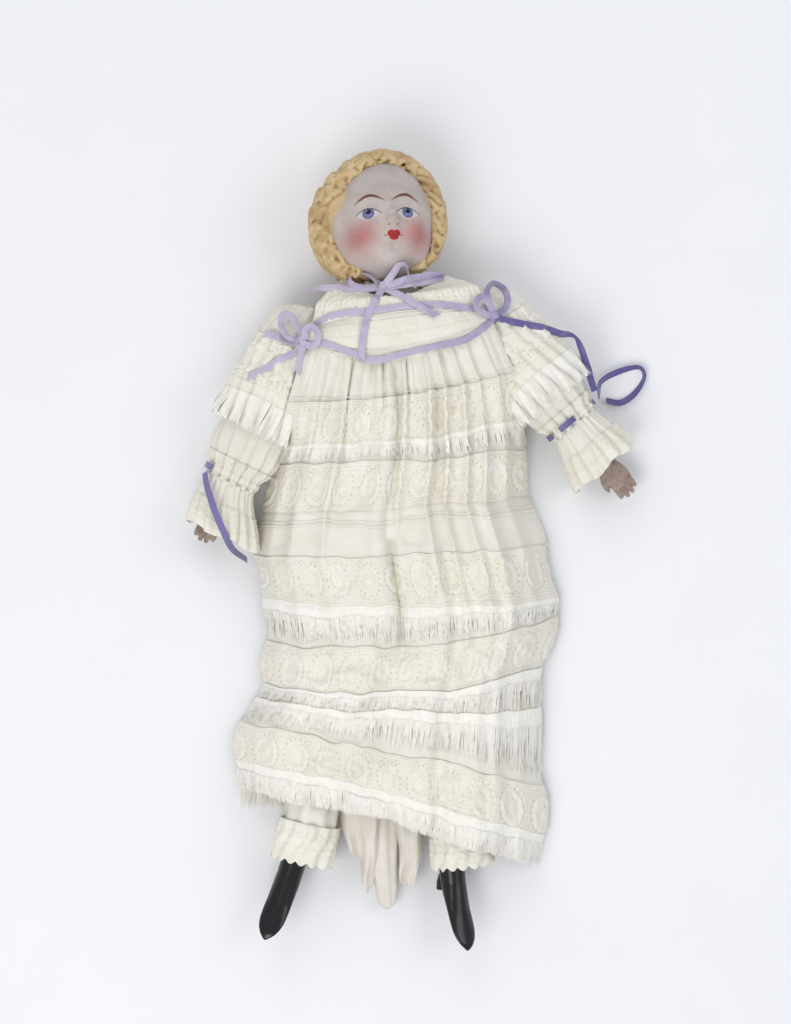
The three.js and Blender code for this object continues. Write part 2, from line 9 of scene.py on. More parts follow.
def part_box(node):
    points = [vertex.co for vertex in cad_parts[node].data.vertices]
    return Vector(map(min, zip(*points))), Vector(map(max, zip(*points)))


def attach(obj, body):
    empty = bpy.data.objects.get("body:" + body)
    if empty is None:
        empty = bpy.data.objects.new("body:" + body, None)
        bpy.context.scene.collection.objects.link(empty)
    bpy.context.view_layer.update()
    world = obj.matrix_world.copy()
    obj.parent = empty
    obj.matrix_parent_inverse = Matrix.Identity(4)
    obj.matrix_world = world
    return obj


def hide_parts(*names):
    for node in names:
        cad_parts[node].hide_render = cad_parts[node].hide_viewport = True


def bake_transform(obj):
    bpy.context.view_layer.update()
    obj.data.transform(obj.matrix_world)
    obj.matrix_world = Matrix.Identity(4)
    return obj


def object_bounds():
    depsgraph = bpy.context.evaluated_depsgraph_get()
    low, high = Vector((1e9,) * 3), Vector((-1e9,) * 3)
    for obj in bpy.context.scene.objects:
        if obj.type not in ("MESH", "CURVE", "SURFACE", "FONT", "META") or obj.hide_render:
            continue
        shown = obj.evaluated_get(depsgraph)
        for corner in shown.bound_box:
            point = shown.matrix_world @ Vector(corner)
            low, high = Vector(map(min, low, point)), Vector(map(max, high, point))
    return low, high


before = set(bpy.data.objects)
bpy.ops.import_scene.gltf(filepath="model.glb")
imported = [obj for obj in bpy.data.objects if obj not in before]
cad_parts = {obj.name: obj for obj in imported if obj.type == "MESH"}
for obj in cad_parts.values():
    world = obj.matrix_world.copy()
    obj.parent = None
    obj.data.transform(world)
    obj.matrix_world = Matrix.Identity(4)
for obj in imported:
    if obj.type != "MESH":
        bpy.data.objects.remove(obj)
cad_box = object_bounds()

# The doll lies on its back: +X to its own left hand, +Y to its crown, +Z up.
# Lengths are millimetres on the doll's own axes, whose zero is the middle of the torso's width, 86 below the
# gathered seam of the yoke; at() turns them into the frame's metres.
MM = 0.001
YOKE_SEAM_Y = 86
yoke_low, yoke_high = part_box("yoke_back")
ZERO = Vector(((yoke_low[0] + yoke_high[0]) / 2, yoke_low[1] - YOKE_SEAM_Y * MM, cad_box[0][2]))

ARMS = {  # shoulder seam, degrees out from the body, where the sleeve ends
    "right": {"side": -1, "seam": (-50, 94, 18), "yaw": -26, "end": 88},
    "left": {"side": 1, "seam": (48, 103, 18), "yaw": 40, "end": 75},
}
LEGS = {
    "right": {"side": -1, "seam": (-19, -40, 20), "yaw": -12, "roll": -14, "foot": -4},
    "left": {"side": 1, "seam": (19, -40, 20), "yaw": 6.5, "roll": 34, "foot": -6},
}
HEAD_CENTRE = (-7.5, 153, 36)
HEAD_TURN = (-12, 8, 2.5)  # chin up, face to its left, crown to its right
RIBBON_WIDTH = 3.6


def at(x, y, z=0.0):
    return ZERO + Vector((x, y, z)) * MM


def turned(seam, yaw, dip=0.0, roll=0.0):
    """The frame of a limb: its seam at the origin and -Y along it."""
    matrix = Matrix.Translation(seam) @ Matrix.Rotation(math.radians(yaw), 4, "Z")
    return matrix @ Matrix.Rotation(math.radians(dip), 4, "X") @ Matrix.Rotation(math.radians(roll), 4, "Y")


def carried(matrix, x, y, z):
    """Arrays of places in a limb's frame, turned into the doll's."""
    m = np.array(matrix)
    return tuple(m[k, 0] * x + m[k, 1] * y + m[k, 2] * z + m[k, 3] for k in range(3))


# ---- camera, light and floor ----
def studio():
    distance, height_seen = 1600, 552.96
    camera = bpy.data.objects.new("camera", bpy.data.cameras.new("camera"))
    camera.data.lens = camera.data.sensor_width * distance / height_seen
    camera.location = at(0, 0, distance)
    camera.data.clip_end = 10
    bpy.context.scene.collection.objects.link(camera)
    bpy.context.scene.camera = camera

    lights = [  # place, size, watts, colour
        ((-420, -620, 1150), 800, 7.2, (1.0, 0.985, 0.96)),
        ((800, 150, 950), 700, 2.6, (0.96, 0.98, 1.0)),
        ((-300, 900, 900), 700, 2.2, (1.0, 0.99, 0.97)),
    ]
    for number, (place, size, watts, colour) in enumerate(lights):
        lamp = bpy.data.lights.new(f"soft_box_{number}", "AREA")
        lamp.size = size * MM
        lamp.energy = watts
        lamp.color = colour
        holder = bpy.data.objects.new(lamp.name, lamp)
        holder.location = at(*place)
        holder.rotation_euler = (at(0, 0, 0) - holder.location).to_track_quat("-Z", "Y").to_euler()
        bpy.context.scene.collection.objects.link(holder)
    world = bpy.data.worlds.new("studio")
    world.use_nodes = True
    surround = world.node_tree.nodes["Background"].inputs
    surround["Color"].default_value = (0.93, 0.95, 1.0, 1)
    surround["Strength"].default_value = 0.57
    bpy.context.scene.world = world
    bpy.context.scene.view_settings.view_transform = "Standard"


# ---- materials ----
class Value:
    """A socket whose arithmetic adds Math nodes to its material."""

    def __init__(self, paint, socket):
        self.paint, self.socket = paint, socket

    def __add__(self, other):
        return self.paint.math("ADD", self, other)

    def __sub__(self, other):
        return self.paint.math("SUBTRACT", self, other)

    def __rsub__(self, other):
        return self.paint.math("SUBTRACT", other, self)

    def __mul__(self, other):
        return self.paint.math("MULTIPLY", self, other)

    def __truediv__(self, other):
        return self.paint.math("DIVIDE", self, other)

    def __abs__(self):
        return self.paint.math("ABSOLUTE", self)

    __radd__, __rmul__ = __add__, __mul__

    def above(self, level, soft):
        """0 below the level and 1 above it, with a soft edge."""
        settings = {"interpolation_type": "SMOOTHSTEP"}
        inputs = {"Value": self, "From Min": level - soft, "From Max": level + soft}
        return self.paint.node("ShaderNodeMapRange", settings, inputs)

    def below(self, level, soft):
        return 1 - self.above(level, soft)


class Paint:
    """A material under way: nodes are added by node(), numbers by Value arithmetic."""

    def __init__(self, name, **constants):
        self.material = bpy.data.materials.new(name)
        self.material.use_nodes = True
        self.tree = self.material.node_tree
        self.shader = self.tree.nodes["Principled BSDF"]
        self.set(**constants)

    def link(self, target, value):
        if isinstance(value, Value):
            self.tree.links.new(value.socket, target)
        elif isinstance(value, tuple) and target.type == "RGBA":
            target.default_value = (*value, 1)
        else:
            target.default_value = value

    def set(self, **sockets):
        for name, value in sockets.items():
            self.link(self.shader.inputs[name.replace("_", " ")], value)

    def node(self, kind, settings=None, inputs=None, output=0):
        made = self.tree.nodes.new(kind)
        for name, value in (settings or {}).items():
            setattr(made, name, value)
        for name, value in (inputs or {}).items():
            self.link(made.inputs[name], value)
        return Value(self, made.outputs[output])

    def math(self, operation, *values):
        return self.node("ShaderNodeMath", {"operation": operation}, dict(enumerate(values)))

    def mix(self, factor, first, second):
        return self.node("ShaderNodeMix", {"data_type": "RGBA"}, {0: factor, 6: first, 7: second}, 2)

    def split(self, vector):
        made = self.tree.nodes.new("ShaderNodeSeparateXYZ")
        self.link(made.inputs[0], vector)
        return [Value(self, socket) for socket in made.outputs]

    def places(self, output="Object", scale=1000.0, location=(0, 0, 0), rotation=(0, 0, 0)):
        """Object coordinates in millimetres, or the UV map, which is already in millimetres."""
        source = self.node("ShaderNodeTexCoord", output=output)
        size = 1.0 / scale
        inputs = {"Vector": source, "Location": location, "Rotation": rotation, "Scale": (size, size, size)}
        return self.node("ShaderNodeMapping", {"vector_type": "TEXTURE"}, inputs)

    def noise(self, where, scale, detail=4.0, roughness=0.55):
        inputs = {"Vector": where, "Scale": scale, "Detail": detail, "Roughness": roughness}
        return self.node("ShaderNodeTexNoise", None, inputs)

    def bump(self, height, strength, distance):
        inputs = {"Height": height, "Strength": strength, "Distance": distance}
        self.set(Normal=self.node("ShaderNodeBump", None, inputs))


def srgb(red, green, blue):
    """Display colour from 0 to 255 as the linear colour that a shader takes."""
    shares = [c / 255 for c in (red, green, blue)]
    return tuple(c / 12.92 if c < 0.04 else ((c + 0.055) / 1.055) ** 2.4 for c in shares)


def woven(name, pale, deep, pitch=0.34, slub=0.35, **constants):
    """Plain-woven cloth: crossing threads, slubs in them and a little yellowing in patches."""
    paint = Paint(name, Roughness=0.9, **constants)
    where = paint.places("UV", 1.0)
    u, v = paint.split(where)[:2]
    turn = math.tau / pitch
    warp = paint.math("SINE", u * turn)
    weft = paint.math("SINE", v * turn)
    patch = paint.noise(paint.places(), 0.045, 3.0)
    slubs = paint.noise(where, 0.8, 5.0)
    shade = (patch - 0.5) * 1.3 + (slubs - 0.5) * slub + 0.5
    paint.set(Base_Color=paint.mix(shade.above(0.5, 0.5), deep, pale))
    paint.bump(warp * weft * 0.5 + slubs * 1.4, 0.35, 0.00012)
    return paint.material


def threads():
    """Loose cotton ends."""
    paint = Paint("fringe_thread", Roughness=0.95)
    tone = paint.noise(paint.places(), 0.35, 4.0)
    paint.set(Base_Color=paint.mix(tone.above(0.5, 0.4), srgb(240, 236, 226), srgb(251, 249, 243)))
    return paint.material


def lace_holes(paint, u, v, repeat, depth):
    """Where the net of an insertion lace is open: round medallions in a trellis between two borders."""
    p = paint.math("PINGPONG", u + repeat / 2, repeat) - repeat / 2
    q = v - depth / 2
    size = depth / 27
    r = paint.math("SQRT", p * p + q * q * 0.9) / size
    angle = paint.math("ARCTAN2", q, p)
    inner = abs(r - 3.4).below(0.3, 0.25) * paint.math("COSINE", angle * 8).above(0.1, 0.4) * 0.7
    outer = abs(r - 8.3).below(0.4, 0.25) * paint.math("COSINE", angle * 18).above(0.0, 0.4)
    turn = math.pi / (1.7 * size)
    trellis = paint.math("SINE", (p + q) * turn) * paint.math("SINE", (p - q) * turn)
    wide = paint.math("SINE", (p + q) * (turn / 5)) * paint.math("SINE", (p - q) * (turn / 5))
    net = trellis.above(0.45, 0.2) * r.above(9.2, 0.3) * (0.35 + wide.above(0.1, 0.3) * 0.65)
    edge = abs(q)
    along = paint.math("SINE", u * (math.tau / 1.7)).above(0.1, 0.4)
    beading = abs(edge - (depth / 2 - 1.5 * size)).below(0.4, 0.2) * along * 0.6
    inside = edge.below(depth / 2 - 2.4 * size, 0.2)
    open_net = paint.math("MAXIMUM", inner, paint.math("MAXIMUM", outer, net))
    return paint.math("MAXIMUM", open_net * inside, beading)


def laced(name, repeat=21.0, depth=27.0, pale=(242, 239, 229), deep=(229, 224, 208)):
    """Cotton lace, with its open net cut through by Alpha."""
    paint = Paint(name, Roughness=0.92)
    where = paint.places("UV", 1.0)
    u, v = paint.split(where)[:2]
    cotton = paint.noise(where, 1.7, 5.0)
    worn = paint.noise(where, 0.28, 2.0)
    holes = lace_holes(paint, u, v, repeat, depth) * (0.35 + worn.above(0.48, 0.16) * 0.65)
    patch = paint.noise(paint.places(), 0.05, 3.0)
    shade = (patch - 0.5) * 1.2 + (cotton - 0.5) * 0.6 + 0.5
    paint.set(Base_Color=paint.mix(shade.above(0.5, 0.5), srgb(*deep), srgb(*pale)), Alpha=1 - holes * 0.3)
    paint.bump(cotton * 0.6 + (1 - holes), 0.45, 0.00022)
    return paint.material


def satin(name, pale, deep):
    """Silk ribbon: fine cross ribs and faded patches."""
    paint = Paint(name, Roughness=0.36, Sheen_Weight=0.25)
    v = paint.split(paint.places("UV", 1.0))[1]
    ribs = paint.math("SINE", v * (math.tau / 0.28))
    fade = paint.noise(paint.places(), 0.07, 3.0)
    across = paint.split(paint.places())[0]
    # besides the faded patches, the colour runs steadily from pale on the doll's right towards deep on its left
    shade = fade * 0.9 + across * 0.0035 - 0.15
    paint.set(Base_Color=paint.mix(shade.above(0.45, 0.3), srgb(*pale), srgb(*deep)))
    paint.set(Roughness=0.3 + fade * 0.2)
    paint.bump(ribs + fade * 2, 0.12, 0.0001)
    return paint.material


# ---- cloth as grids of points ----
def smooth(edge0, edge1, x):
    t = np.clip((x - edge0) / (edge1 - edge0), 0, 1)
    return t * t * (3 - 2 * t)


def bell(x):
    return np.exp(-x * x)


def ripple(x, y, seed, wave, count=5, stretch=(1.0, 1.0)):
    """Smooth unevenness from a few crossing waves, about -1 to 1."""
    chance = np.random.default_rng(seed)
    total = 0
    for _ in range(count):
        heading, phase, size = chance.uniform(0, math.tau, 3)
        kx, ky = math.cos(heading) / stretch[0], math.sin(heading) / stretch[1]
        length = wave * (0.6 + size / math.tau)
        total = total + np.sin(math.tau * (kx * x + ky * y) / length + phase)
    return total / math.sqrt(count * 2)


class Cloth:
    """A grid of points, u across and v along, that trims and fringes are laid on."""

    def __init__(self, place, across, along, closed=False):
        u, v = np.meshgrid(np.linspace(0, 1, across + 1), np.linspace(0, 1, along + 1))
        self.points = np.stack(place(u, v), axis=-1)
        self.across, self.along, self.closed = across, along, closed
        along_u = np.gradient(self.points, axis=1)
        if closed:
            ends = self.points[:, 1] - self.points[:, -2]
            along_u[:, 0] = along_u[:, -1] = ends / 2
        normal = np.cross(np.gradient(self.points, axis=0), along_u)
        self.normals = normal / np.maximum(1e-9, np.linalg.norm(normal, axis=-1, keepdims=True))

    def spot(self, u, v, lift=0.0):
        """Points on the cloth, or lifted off it, at arrays of u and v; past its edges the cloth is carried on."""
        x, y = u * self.across, v * self.along
        i = np.clip(np.floor(x).astype(int), 0, self.across - 1)
        j = np.clip(np.floor(y).astype(int), 0, self.along - 1)
        a, b = (x - i)[..., None], (y - j)[..., None]

        def between(grid):
            low = grid[j, i] * (1 - a) + grid[j, i + 1] * a
            high = grid[j + 1, i] * (1 - a) + grid[j + 1, i + 1] * a
            return low * (1 - b) + high * b

        return between(self.points) + between(self.normals) * np.asarray(lift)[..., None]

    def width(self, v):
        row = self.spot(np.linspace(0, 1, 60), np.full(60, v))
        return float(np.linalg.norm(np.diff(row, axis=0), axis=1).sum())


def piece(name, points, faces, material, marks=None):
    """A new mesh from points in millimetres; marks are each point's place on the flat cloth."""
    mesh = bpy.data.meshes.new(name)
    rows = np.asarray(points, dtype=float).reshape(-1, 3) * MM + np.array(ZERO)
    mesh.from_pydata(rows.tolist(), [], [tuple(face) for face in np.asarray(faces).tolist()])
    if marks is not None:
        corners = np.empty(len(mesh.loops), dtype=np.int32)
        mesh.loops.foreach_get("vertex_index", corners)
        flat = np.asarray(marks, dtype=float).reshape(-1, 2)[corners]
        mesh.uv_layers.new(name="flat").data.foreach_set("uv", flat.ravel())
    mesh.materials.append(material)
    mesh.shade_smooth()
    made = bpy.data.objects.new(name, mesh)
    bpy.context.scene.collection.objects.link(made)
    return made


def grid_faces(across, along):
    i, j = np.meshgrid(np.arange(across), np.arange(along))
    a = (j * (across + 1) + i).ravel()
    return np.stack([a, a + across + 1, a + across + 2, a + 1], axis=1)


def worked(made, kind, **settings):
    """A modifier added to a piece and applied."""
    clear_selection()
    made.select_set(True)
    bpy.context.view_layer.objects.active = made
    modifier = made.modifiers.new(kind.lower(), kind)
    for name, value in settings.items():
        setattr(modifier, name, value)
    bpy.ops.object.modifier_apply(modifier=modifier.name)
    return made


def clear_selection():
    if bpy.context.object and bpy.context.object.mode != "OBJECT":
        bpy.ops.object.mode_set(mode="OBJECT")
    bpy.ops.object.select_all(action="DESELECT")


def panel(name, cloth, material, span=(0, 1, 0, 1), step=1.2, lift=0.0, thick=0.35, relief=None):
    """Part of a cloth's face as a piece of its own, raised by lift and by relief(mm across, mm along)."""
    u0, u1, v0, v1 = span
    wide = max(cloth.width(v0), cloth.width(v1)) * (u1 - u0)
    middle = cloth.spot(np.full(40, (u0 + u1) / 2), np.linspace(v0, v1, 40))
    high = float(np.linalg.norm(np.diff(middle, axis=0), axis=1).sum())
    across, along = max(2, round(wide / step)), max(2, round(high / step))
    u, v = np.meshgrid(np.linspace(u0, u1, across + 1), np.linspace(v0, v1, along + 1))
    mm_u, mm_v = (u - u0) / (u1 - u0) * wide, (v - v0) / (v1 - v0) * high
    height = lift + (relief(mm_u, mm_v) if relief else 0.0)
    made = piece(name, cloth.spot(u, v, height), grid_faces(across, along), material, np.stack([mm_u, mm_v], axis=-1))
    if cloth.closed and u0 == 0 and u1 == 1:
        worked(made, "WELD", merge_threshold=0.02 * MM)
    if thick:
        worked(made, "SOLIDIFY", thickness=thick * MM, offset=-1)
    return made


def medallions(repeat=21.0, depth=27.0, height=0.5):
    """The raised threads of an insertion lace: rings round each medallion, a trellis and two borders."""

    def relief(u, v):
        size = depth / 27
        p = np.abs((u + repeat / 2) % (2 * repeat) - repeat) - repeat / 2
        q = v - depth / 2
        r = np.sqrt(p * p + 0.9 * q * q) / size
        angle = np.arctan2(q, p)
        rings = 1.7 * bell((r - 6.0 - 0.5 * np.cos(8 * angle)) / 1.0) + 1.5 * bell(r / 1.7)
        rings = rings + 0.8 * bell((r - 9.4) / 0.6)
        turn = math.pi / (3.1 * size)
        trellis = 0.5 * (1 - np.abs(np.sin((p + q) * turn) * np.sin((p - q) * turn))) * (r > 9.4)
        border = 1.0 * bell((np.abs(q) - depth / 2 + 0.5) / 0.6)
        return height * (rings + trellis + border)

    return relief


def fringe(name, cloth, v, length, material, span, spacing, lift, layers, seed):
    """Threads that hang from a row of the cloth: flat strands of slightly different lengths, a little unruly."""
    chance = np.random.default_rng(seed)
    wide = cloth.width(v) * (span[1] - span[0])
    count = int(wide / spacing) * layers
    u = np.sort(chance.uniform(span[0], span[1], count))
    reach = length * chance.uniform(0.82, 1.06, count)
    stray = chance.normal(0, 0.0045, count)
    raised = lift + chance.uniform(0, 0.35, count)
    half = 0.5 * chance.uniform(0.42, 0.8, count) / wide * (span[1] - span[0])
    steps = 4
    sides = []
    for k in range(steps + 1):
        t = k / steps
        sway = stray * t ** 1.5 + chance.normal(0, 0.0008, count) * (t > 0)
        narrow = half * (1 - 0.55 * t)
        level = raised + 0.35 * np.sin(u * 190 + seed) * t
        for side in (-1, 1):
            sides.append(cloth.spot(u + sway + side * narrow, v + reach * t, level))
    points = np.stack(sides, axis=1)
    points[..., 2] = np.maximum(points[..., 2], 0.3)
    row = np.array([[2 * k, 2 * k + 2, 2 * k + 3, 2 * k + 1] for k in range(steps)])
    faces = (row[None] + (np.arange(count) * 2 * (steps + 1))[:, None, None]).reshape(-1, 4)
    marks = np.zeros((count, 2 * (steps + 1), 2))
    marks[..., 0] = u[:, None] * wide
    marks[..., 1] = np.repeat(np.arange(steps + 1), 2)[None] * 3.0
    return piece(name, points, faces, material, marks)


# ---- the gown ----
# Rows from the yoke's seam to the ends of the hem fringe, about evenly down the cloth:
# right edge, left edge; height on the doll at the right edge, the middle and the left edge; crown and edge level.
GOWN_ROWS = {
    "seam": (-48, 51, 88, 82, 101, 50.5, 41),
    "first lace": (-57, 63, 58, 61, 74, 50, 38),
    "first lace end": (-62, 67, 35, 38, 49, 49.5, 20),
    "second lace": (-65, 70, 25, 27, 33, 49, 9),
    "second lace end": (-72, 71, -1, 2, 9, 48, 3.5),
    "third lace": (-77, 82, -23, -23, -17, 47.5, 3),
    "third lace end": (-72, 88, -46, -50, -46, 47, 3),
    "fourth lace": (-69, 87, -69, -70, -56, 46, 3),
    "fourth lace end": (-71, 80, -91, -93, -80, 45, 3),
    "flounce": (-77, 79, -102, -108, -112, 43.5, 3),
    "hem lace": (-84, 80, -113, -126, -148, 42, 3),
    "hem lace end": (-86, 80, -133, -148, -174, 41, 3),
    "fringe end": (-84, 77, -148, -165, -191, 39, 2.2),
}
ROW_NAMES = list(GOWN_ROWS)


def row_at(name):
    return ROW_NAMES.index(name) / (len(ROW_NAMES) - 1)


CLOTH_END = row_at("hem lace end")
CENTRE_FOLD = 0.475  # where across the gown its deepest fold runs
GATHERS = [  # where across the gown, how wide, how far down, how deep the other folds are that start at the seam
    (0.06, 0.011, 0.30, 2.6), (0.135, 0.009, 0.42, 3.2), (0.20, 0.012, 0.2, 2.4), (0.275, 0.009, 0.5, 3.4),
    (0.36, 0.010, 0.26, 2.8), (0.425, 0.008, 0.16, 2.6), (0.545, 0.010, 0.24, 3.0), (0.60, 0.008, 0.36, 3.0),
    (0.72, 0.010, 0.22, 2.8), (0.785, 0.009, 0.44, 3.2), (0.86, 0.011, 0.25, 2.8), (0.93, 0.009, 0.34, 2.4),
]


def gown_place(u, v):
    rows = np.array(list(GOWN_ROWS.values()), dtype=float)
    down = v * (len(rows) - 1)
    low = np.clip(np.floor(down).astype(int), 0, len(rows) - 2)
    share = down - low
    share = 0.65 * share + 0.35 * smooth(0, 1, share)
    right, left, y_right, y_middle, y_left, crown, edge = np.moveaxis(
        rows[low] * (1 - share)[..., None] + rows[low + 1] * share[..., None], -1, 0
    )
    across = u + 0.010 * np.sin(math.tau * 3 * u + 1) + 0.006 * np.sin(math.tau * 7 * u + 2)
    side = np.abs(2 * u - 1)
    x = right + (left - right) * u
    y = 2 * y_right * (u - 0.5) * (u - 1) + 4 * y_middle * u * (1 - u) + 2 * y_left * u * (u - 0.5)
    z = edge + (crown - edge) * (1 - side ** 4.5)
    # gathers that start at the seam and merge into fewer, deeper folds
    body = 1 - side ** 6
    top = (1.0 - smooth(0.03, 0.2, v)) * smooth(-0.01, 0.03, v)
    swing = 19 * across + 0.9 * np.sin(math.tau * 1.7 * u + 1)
    turn = math.tau * (9 * across + 0.7 * np.sin(math.tau * 1.3 * u)) + 1.4 * np.sin(3 * v)
    deep = smooth(-0.02, 0.1, v) * (1 - 0.6 * smooth(0.35, 0.6, v))
    broad = np.cos(math.tau * 4.5 * across + 1.7 + 1.5 * v) * smooth(0.2, 0.5, v)
    z = z + body * (0.9 * np.cos(math.tau * swing) * top + 2.5 * np.cos(turn) * deep + 2.2 * broad)
    x = x + body * (0.5 * np.sin(math.tau * swing) * top - 1.1 * np.sin(turn) * deep)
    for place, wide, reach, depth in GATHERS:
        off = u - place - 0.008 * np.sin(14 * v + 40 * place)
        open_up = 1 + 2.2 * smooth(0, 1, v / reach)
        fade = smooth(-0.01, 0.02, v) * (1 - smooth(0.45 * reach, reach, v))
        z = z - body * depth * bell(off / (wide * open_up)) * fade
    # the deep fold down the middle and the roll of cloth beside it
    length = smooth(0.0, 0.06, v) * (1 - smooth(0.5, 0.66, v))
    off = u - CENTRE_FOLD - 0.012 * np.sin(9 * v)
    z = z - length * 6.5 * bell(off / 0.016) + length * 2.6 * bell((off + 0.05) / 0.03)
    off_left = u - 0.66 + 0.05 * v
    z = z - smooth(0.05, 0.12, v) * (1 - smooth(0.42, 0.5, v)) * 3.2 * bell(off_left / 0.014)
    # the lap sinks between the legs, and creases run across it
    lap = smooth(0.42, 0.6, v)
    z = z - lap * body * 2.2 * bell((x + 3) / 11)
    creases = ripple(x, y, 5, 34, 6, (2.4, 1.0)) * 2.0 + ripple(x, y, 9, 17, 6, (1.6, 1.0)) * 0.95
    sharp = (1 - np.abs(ripple(x, y, 15, 30, 6, (2.0, 1.0)))) ** 3 - 0.3
    z = z + body * (creases + 2.4 * sharp) * (0.25 + 0.75 * smooth(0.22, 0.5, v))
    z = z + body * 0.32 * ripple(x, y, 12, 6.5, 7)
    y = y + body * (1.3 * ripple(x, y, 18, 46, 5) + 0.7 * ripple(x, y, 19, 15, 5)) * smooth(0.05, 0.2, v)
    # uneven edges
    fall = side ** 8
    x = x + fall * np.sign(u - 0.5) * (1.6 * np.sin(23 * v) + 1.1 * np.sin(51 * v + 1)) * smooth(0.3, 0.45, v)
    # and the cloth stays over the stuffed body and its drawers
    bulk = 25.8 + 20.8 * np.sqrt(np.clip(1 - (x / 38.5) ** 2, 0, 1))
    z = np.maximum(z, bulk * smooth(-19, -14, y) * (1 - smooth(70, 84, y)) * (np.abs(x) < 38.5))
    z = np.maximum(z, 1.9)
    return x, y, z


def gown_trims(gown, materials):
    """Lace, tucks and fringes in their rows down the gown."""
    made = []
    lace_rows = ["first lace", "second lace", "third lace", "fourth lace", "hem lace"]
    for number, name in enumerate(lace_rows, 1):
        top, end = row_at(name), row_at(name + " end")
        made.append(panel(f"gown_lace_{number}", gown, materials["lace"], (0.004, 0.996, top, end), 0.62, 0.45, 0.0,
                          medallions()))
    fringes = [  # row, share of the way to the next, length in rows
        ("first lace end", 0.0, 0.066), ("third lace end", 0.0, 0.07), ("fourth lace end", 0.12, 0.05),
        ("fourth lace end", 0.75, 0.085), ("hem lace end", 0.0, 0.078),
    ]
    for number, (name, share, length) in enumerate(fringes, 1):
        v = row_at(name) + share / (len(ROW_NAMES) - 1)
        dense = 3 if number == len(fringes) else 2
        made.append(panel(f"gown_flounce_{number}", gown, materials["fringe"],
                          (0.004, 0.996, v, v + 0.55 * length), 1.0, 0.75, 0.0, pinked(number)))
        made.append(fringe(f"gown_fringe_{number}", gown, v + 0.35 * length, 0.65 * length, materials["fringe"],
                           (0.004, 0.996), 0.42, 0.9, dense, seed=number))
    ridges = []
    for name, share in [("second lace end", 0.25), ("second lace end", 0.33), ("fourth lace end", 0.0),
                        ("fourth lace end", 0.035), ("fourth lace end", 0.07), ("hem lace end", 0.0),
                        ("first lace", -0.1), ("third lace end", 0.1)]:
        v = row_at(name) + share / (len(ROW_NAMES) - 1)
        ridges.append(tuck(gown, v))
    made.append(tucks("gown_tucks", ridges, materials["muslin"]))
    return made


def pinked(seed):
    """Fine unevenness along a soft hem band."""
    return lambda u, v: 0.14 * np.sin(u * 2.1 + seed) + 0.12 * np.sin(u * 5.3 + 2 * seed) * smooth(0, 4, v)


def tuck(cloth, v, wide=0.0022, high=0.75, count=320):
    """A narrow pleat sewn across the cloth: a low ridge of three flat strips."""
    u = np.linspace(0.004, 0.996, count)
    profile = [(-1, 0.1), (-0.4, high), (0.5, high * 0.9), (1, 0.1)]
    rows = [cloth.spot(u, np.full(count, v + wide * side), np.full(count, lift)) for side, lift in profile]
    return np.concatenate(rows), grid_faces(count - 1, len(profile) - 1)


def tucks(name, ridges, material):
    """Several equal tucks as one piece."""
    points = np.concatenate([places for places, _ in ridges])
    faces = np.concatenate([links + number * len(ridges[0][0]) for number, (_, links) in enumerate(ridges)])
    return piece(name, points, faces, material, points[:, :2])


# ---- the yoke: lace from the neck to the upper ribbon, tucked muslin down to the gathered seam ----
def yoke_place(u, v):
    """From the neck, v=0, past the upper ribbon at v=0.5, to the gathered seam at v=1."""
    lines = np.array([  # x at the right and left; y at right, middle and left; z at the sides and the middle
        (-27, 24, 124, 112, 125, 36, 45.5),
        (-41, 43, 110, 113.5, 119, 40.5, 49.5),
        (-44, 47, 97, 106.5, 108, 42, 51.0),
        (-49, 52, 86.6, 80.6, 99.6, 42.5, 52.0),
    ], dtype=float)
    down = np.interp(v, [0, 0.25, 0.5, 1], [0, 1, 2, 3])
    low = np.clip(np.floor(down).astype(int), 0, 2)
    share = smooth(-0.1, 1.1, down - low)
    right, left, y_right, y_middle, y_left, edge, crown = np.moveaxis(
        lines[low] * (1 - share)[..., None] + lines[low + 1] * share[..., None], -1, 0
    )
    side = np.abs(2 * u - 1)
    x = right + (left - right) * u
    y = 2 * y_right * (u - 0.5) * (u - 1) + 4 * y_middle * u * (1 - u) + 2 * y_left * u * (u - 0.5)
    z = edge + (crown - edge) * (1 - side ** 3)
    z = z + 0.35 * ripple(x, y, 21, 9, 6) + 0.5 * np.cos(math.tau * 17 * u) * smooth(0.9, 1.0, v)
    return x, y, z


def yoke(materials):
    cloth = Cloth(yoke_place, 110, 60)
    collar = panel("yoke_lace", cloth, materials["yoke lace"], (0, 1, 0, 0.5), 0.6, 0.4, 0.0,
                   medallions(9.5, 15, 0.35))
    plain = panel("yoke_muslin", cloth, materials["muslin"], (0, 1, 0, 1), 0.9, 0.0, 0.4)
    band = panel("yoke_insertion", cloth, materials["narrow lace"], (0, 1, 0.62, 0.86), 0.6, 0.4, 0.0,
                 medallions(5.5, 6, 0.3))
    ridges = [tuck(cloth, v, 0.012, 0.6, 160) for v in (0.545, 0.58, 0.895, 0.93)]
    return cloth, [plain, collar, band, tucks("yoke_tucks", ridges, materials["muslin"])]


# ---- sleeves, their ruffles and frills ----
SLEEVE_FLATNESS = 0.84  # a sleeve's height as a share of its width, as it lies
SLEEVE_UNDERSIDE = -17.2  # the floor under it, from its seam


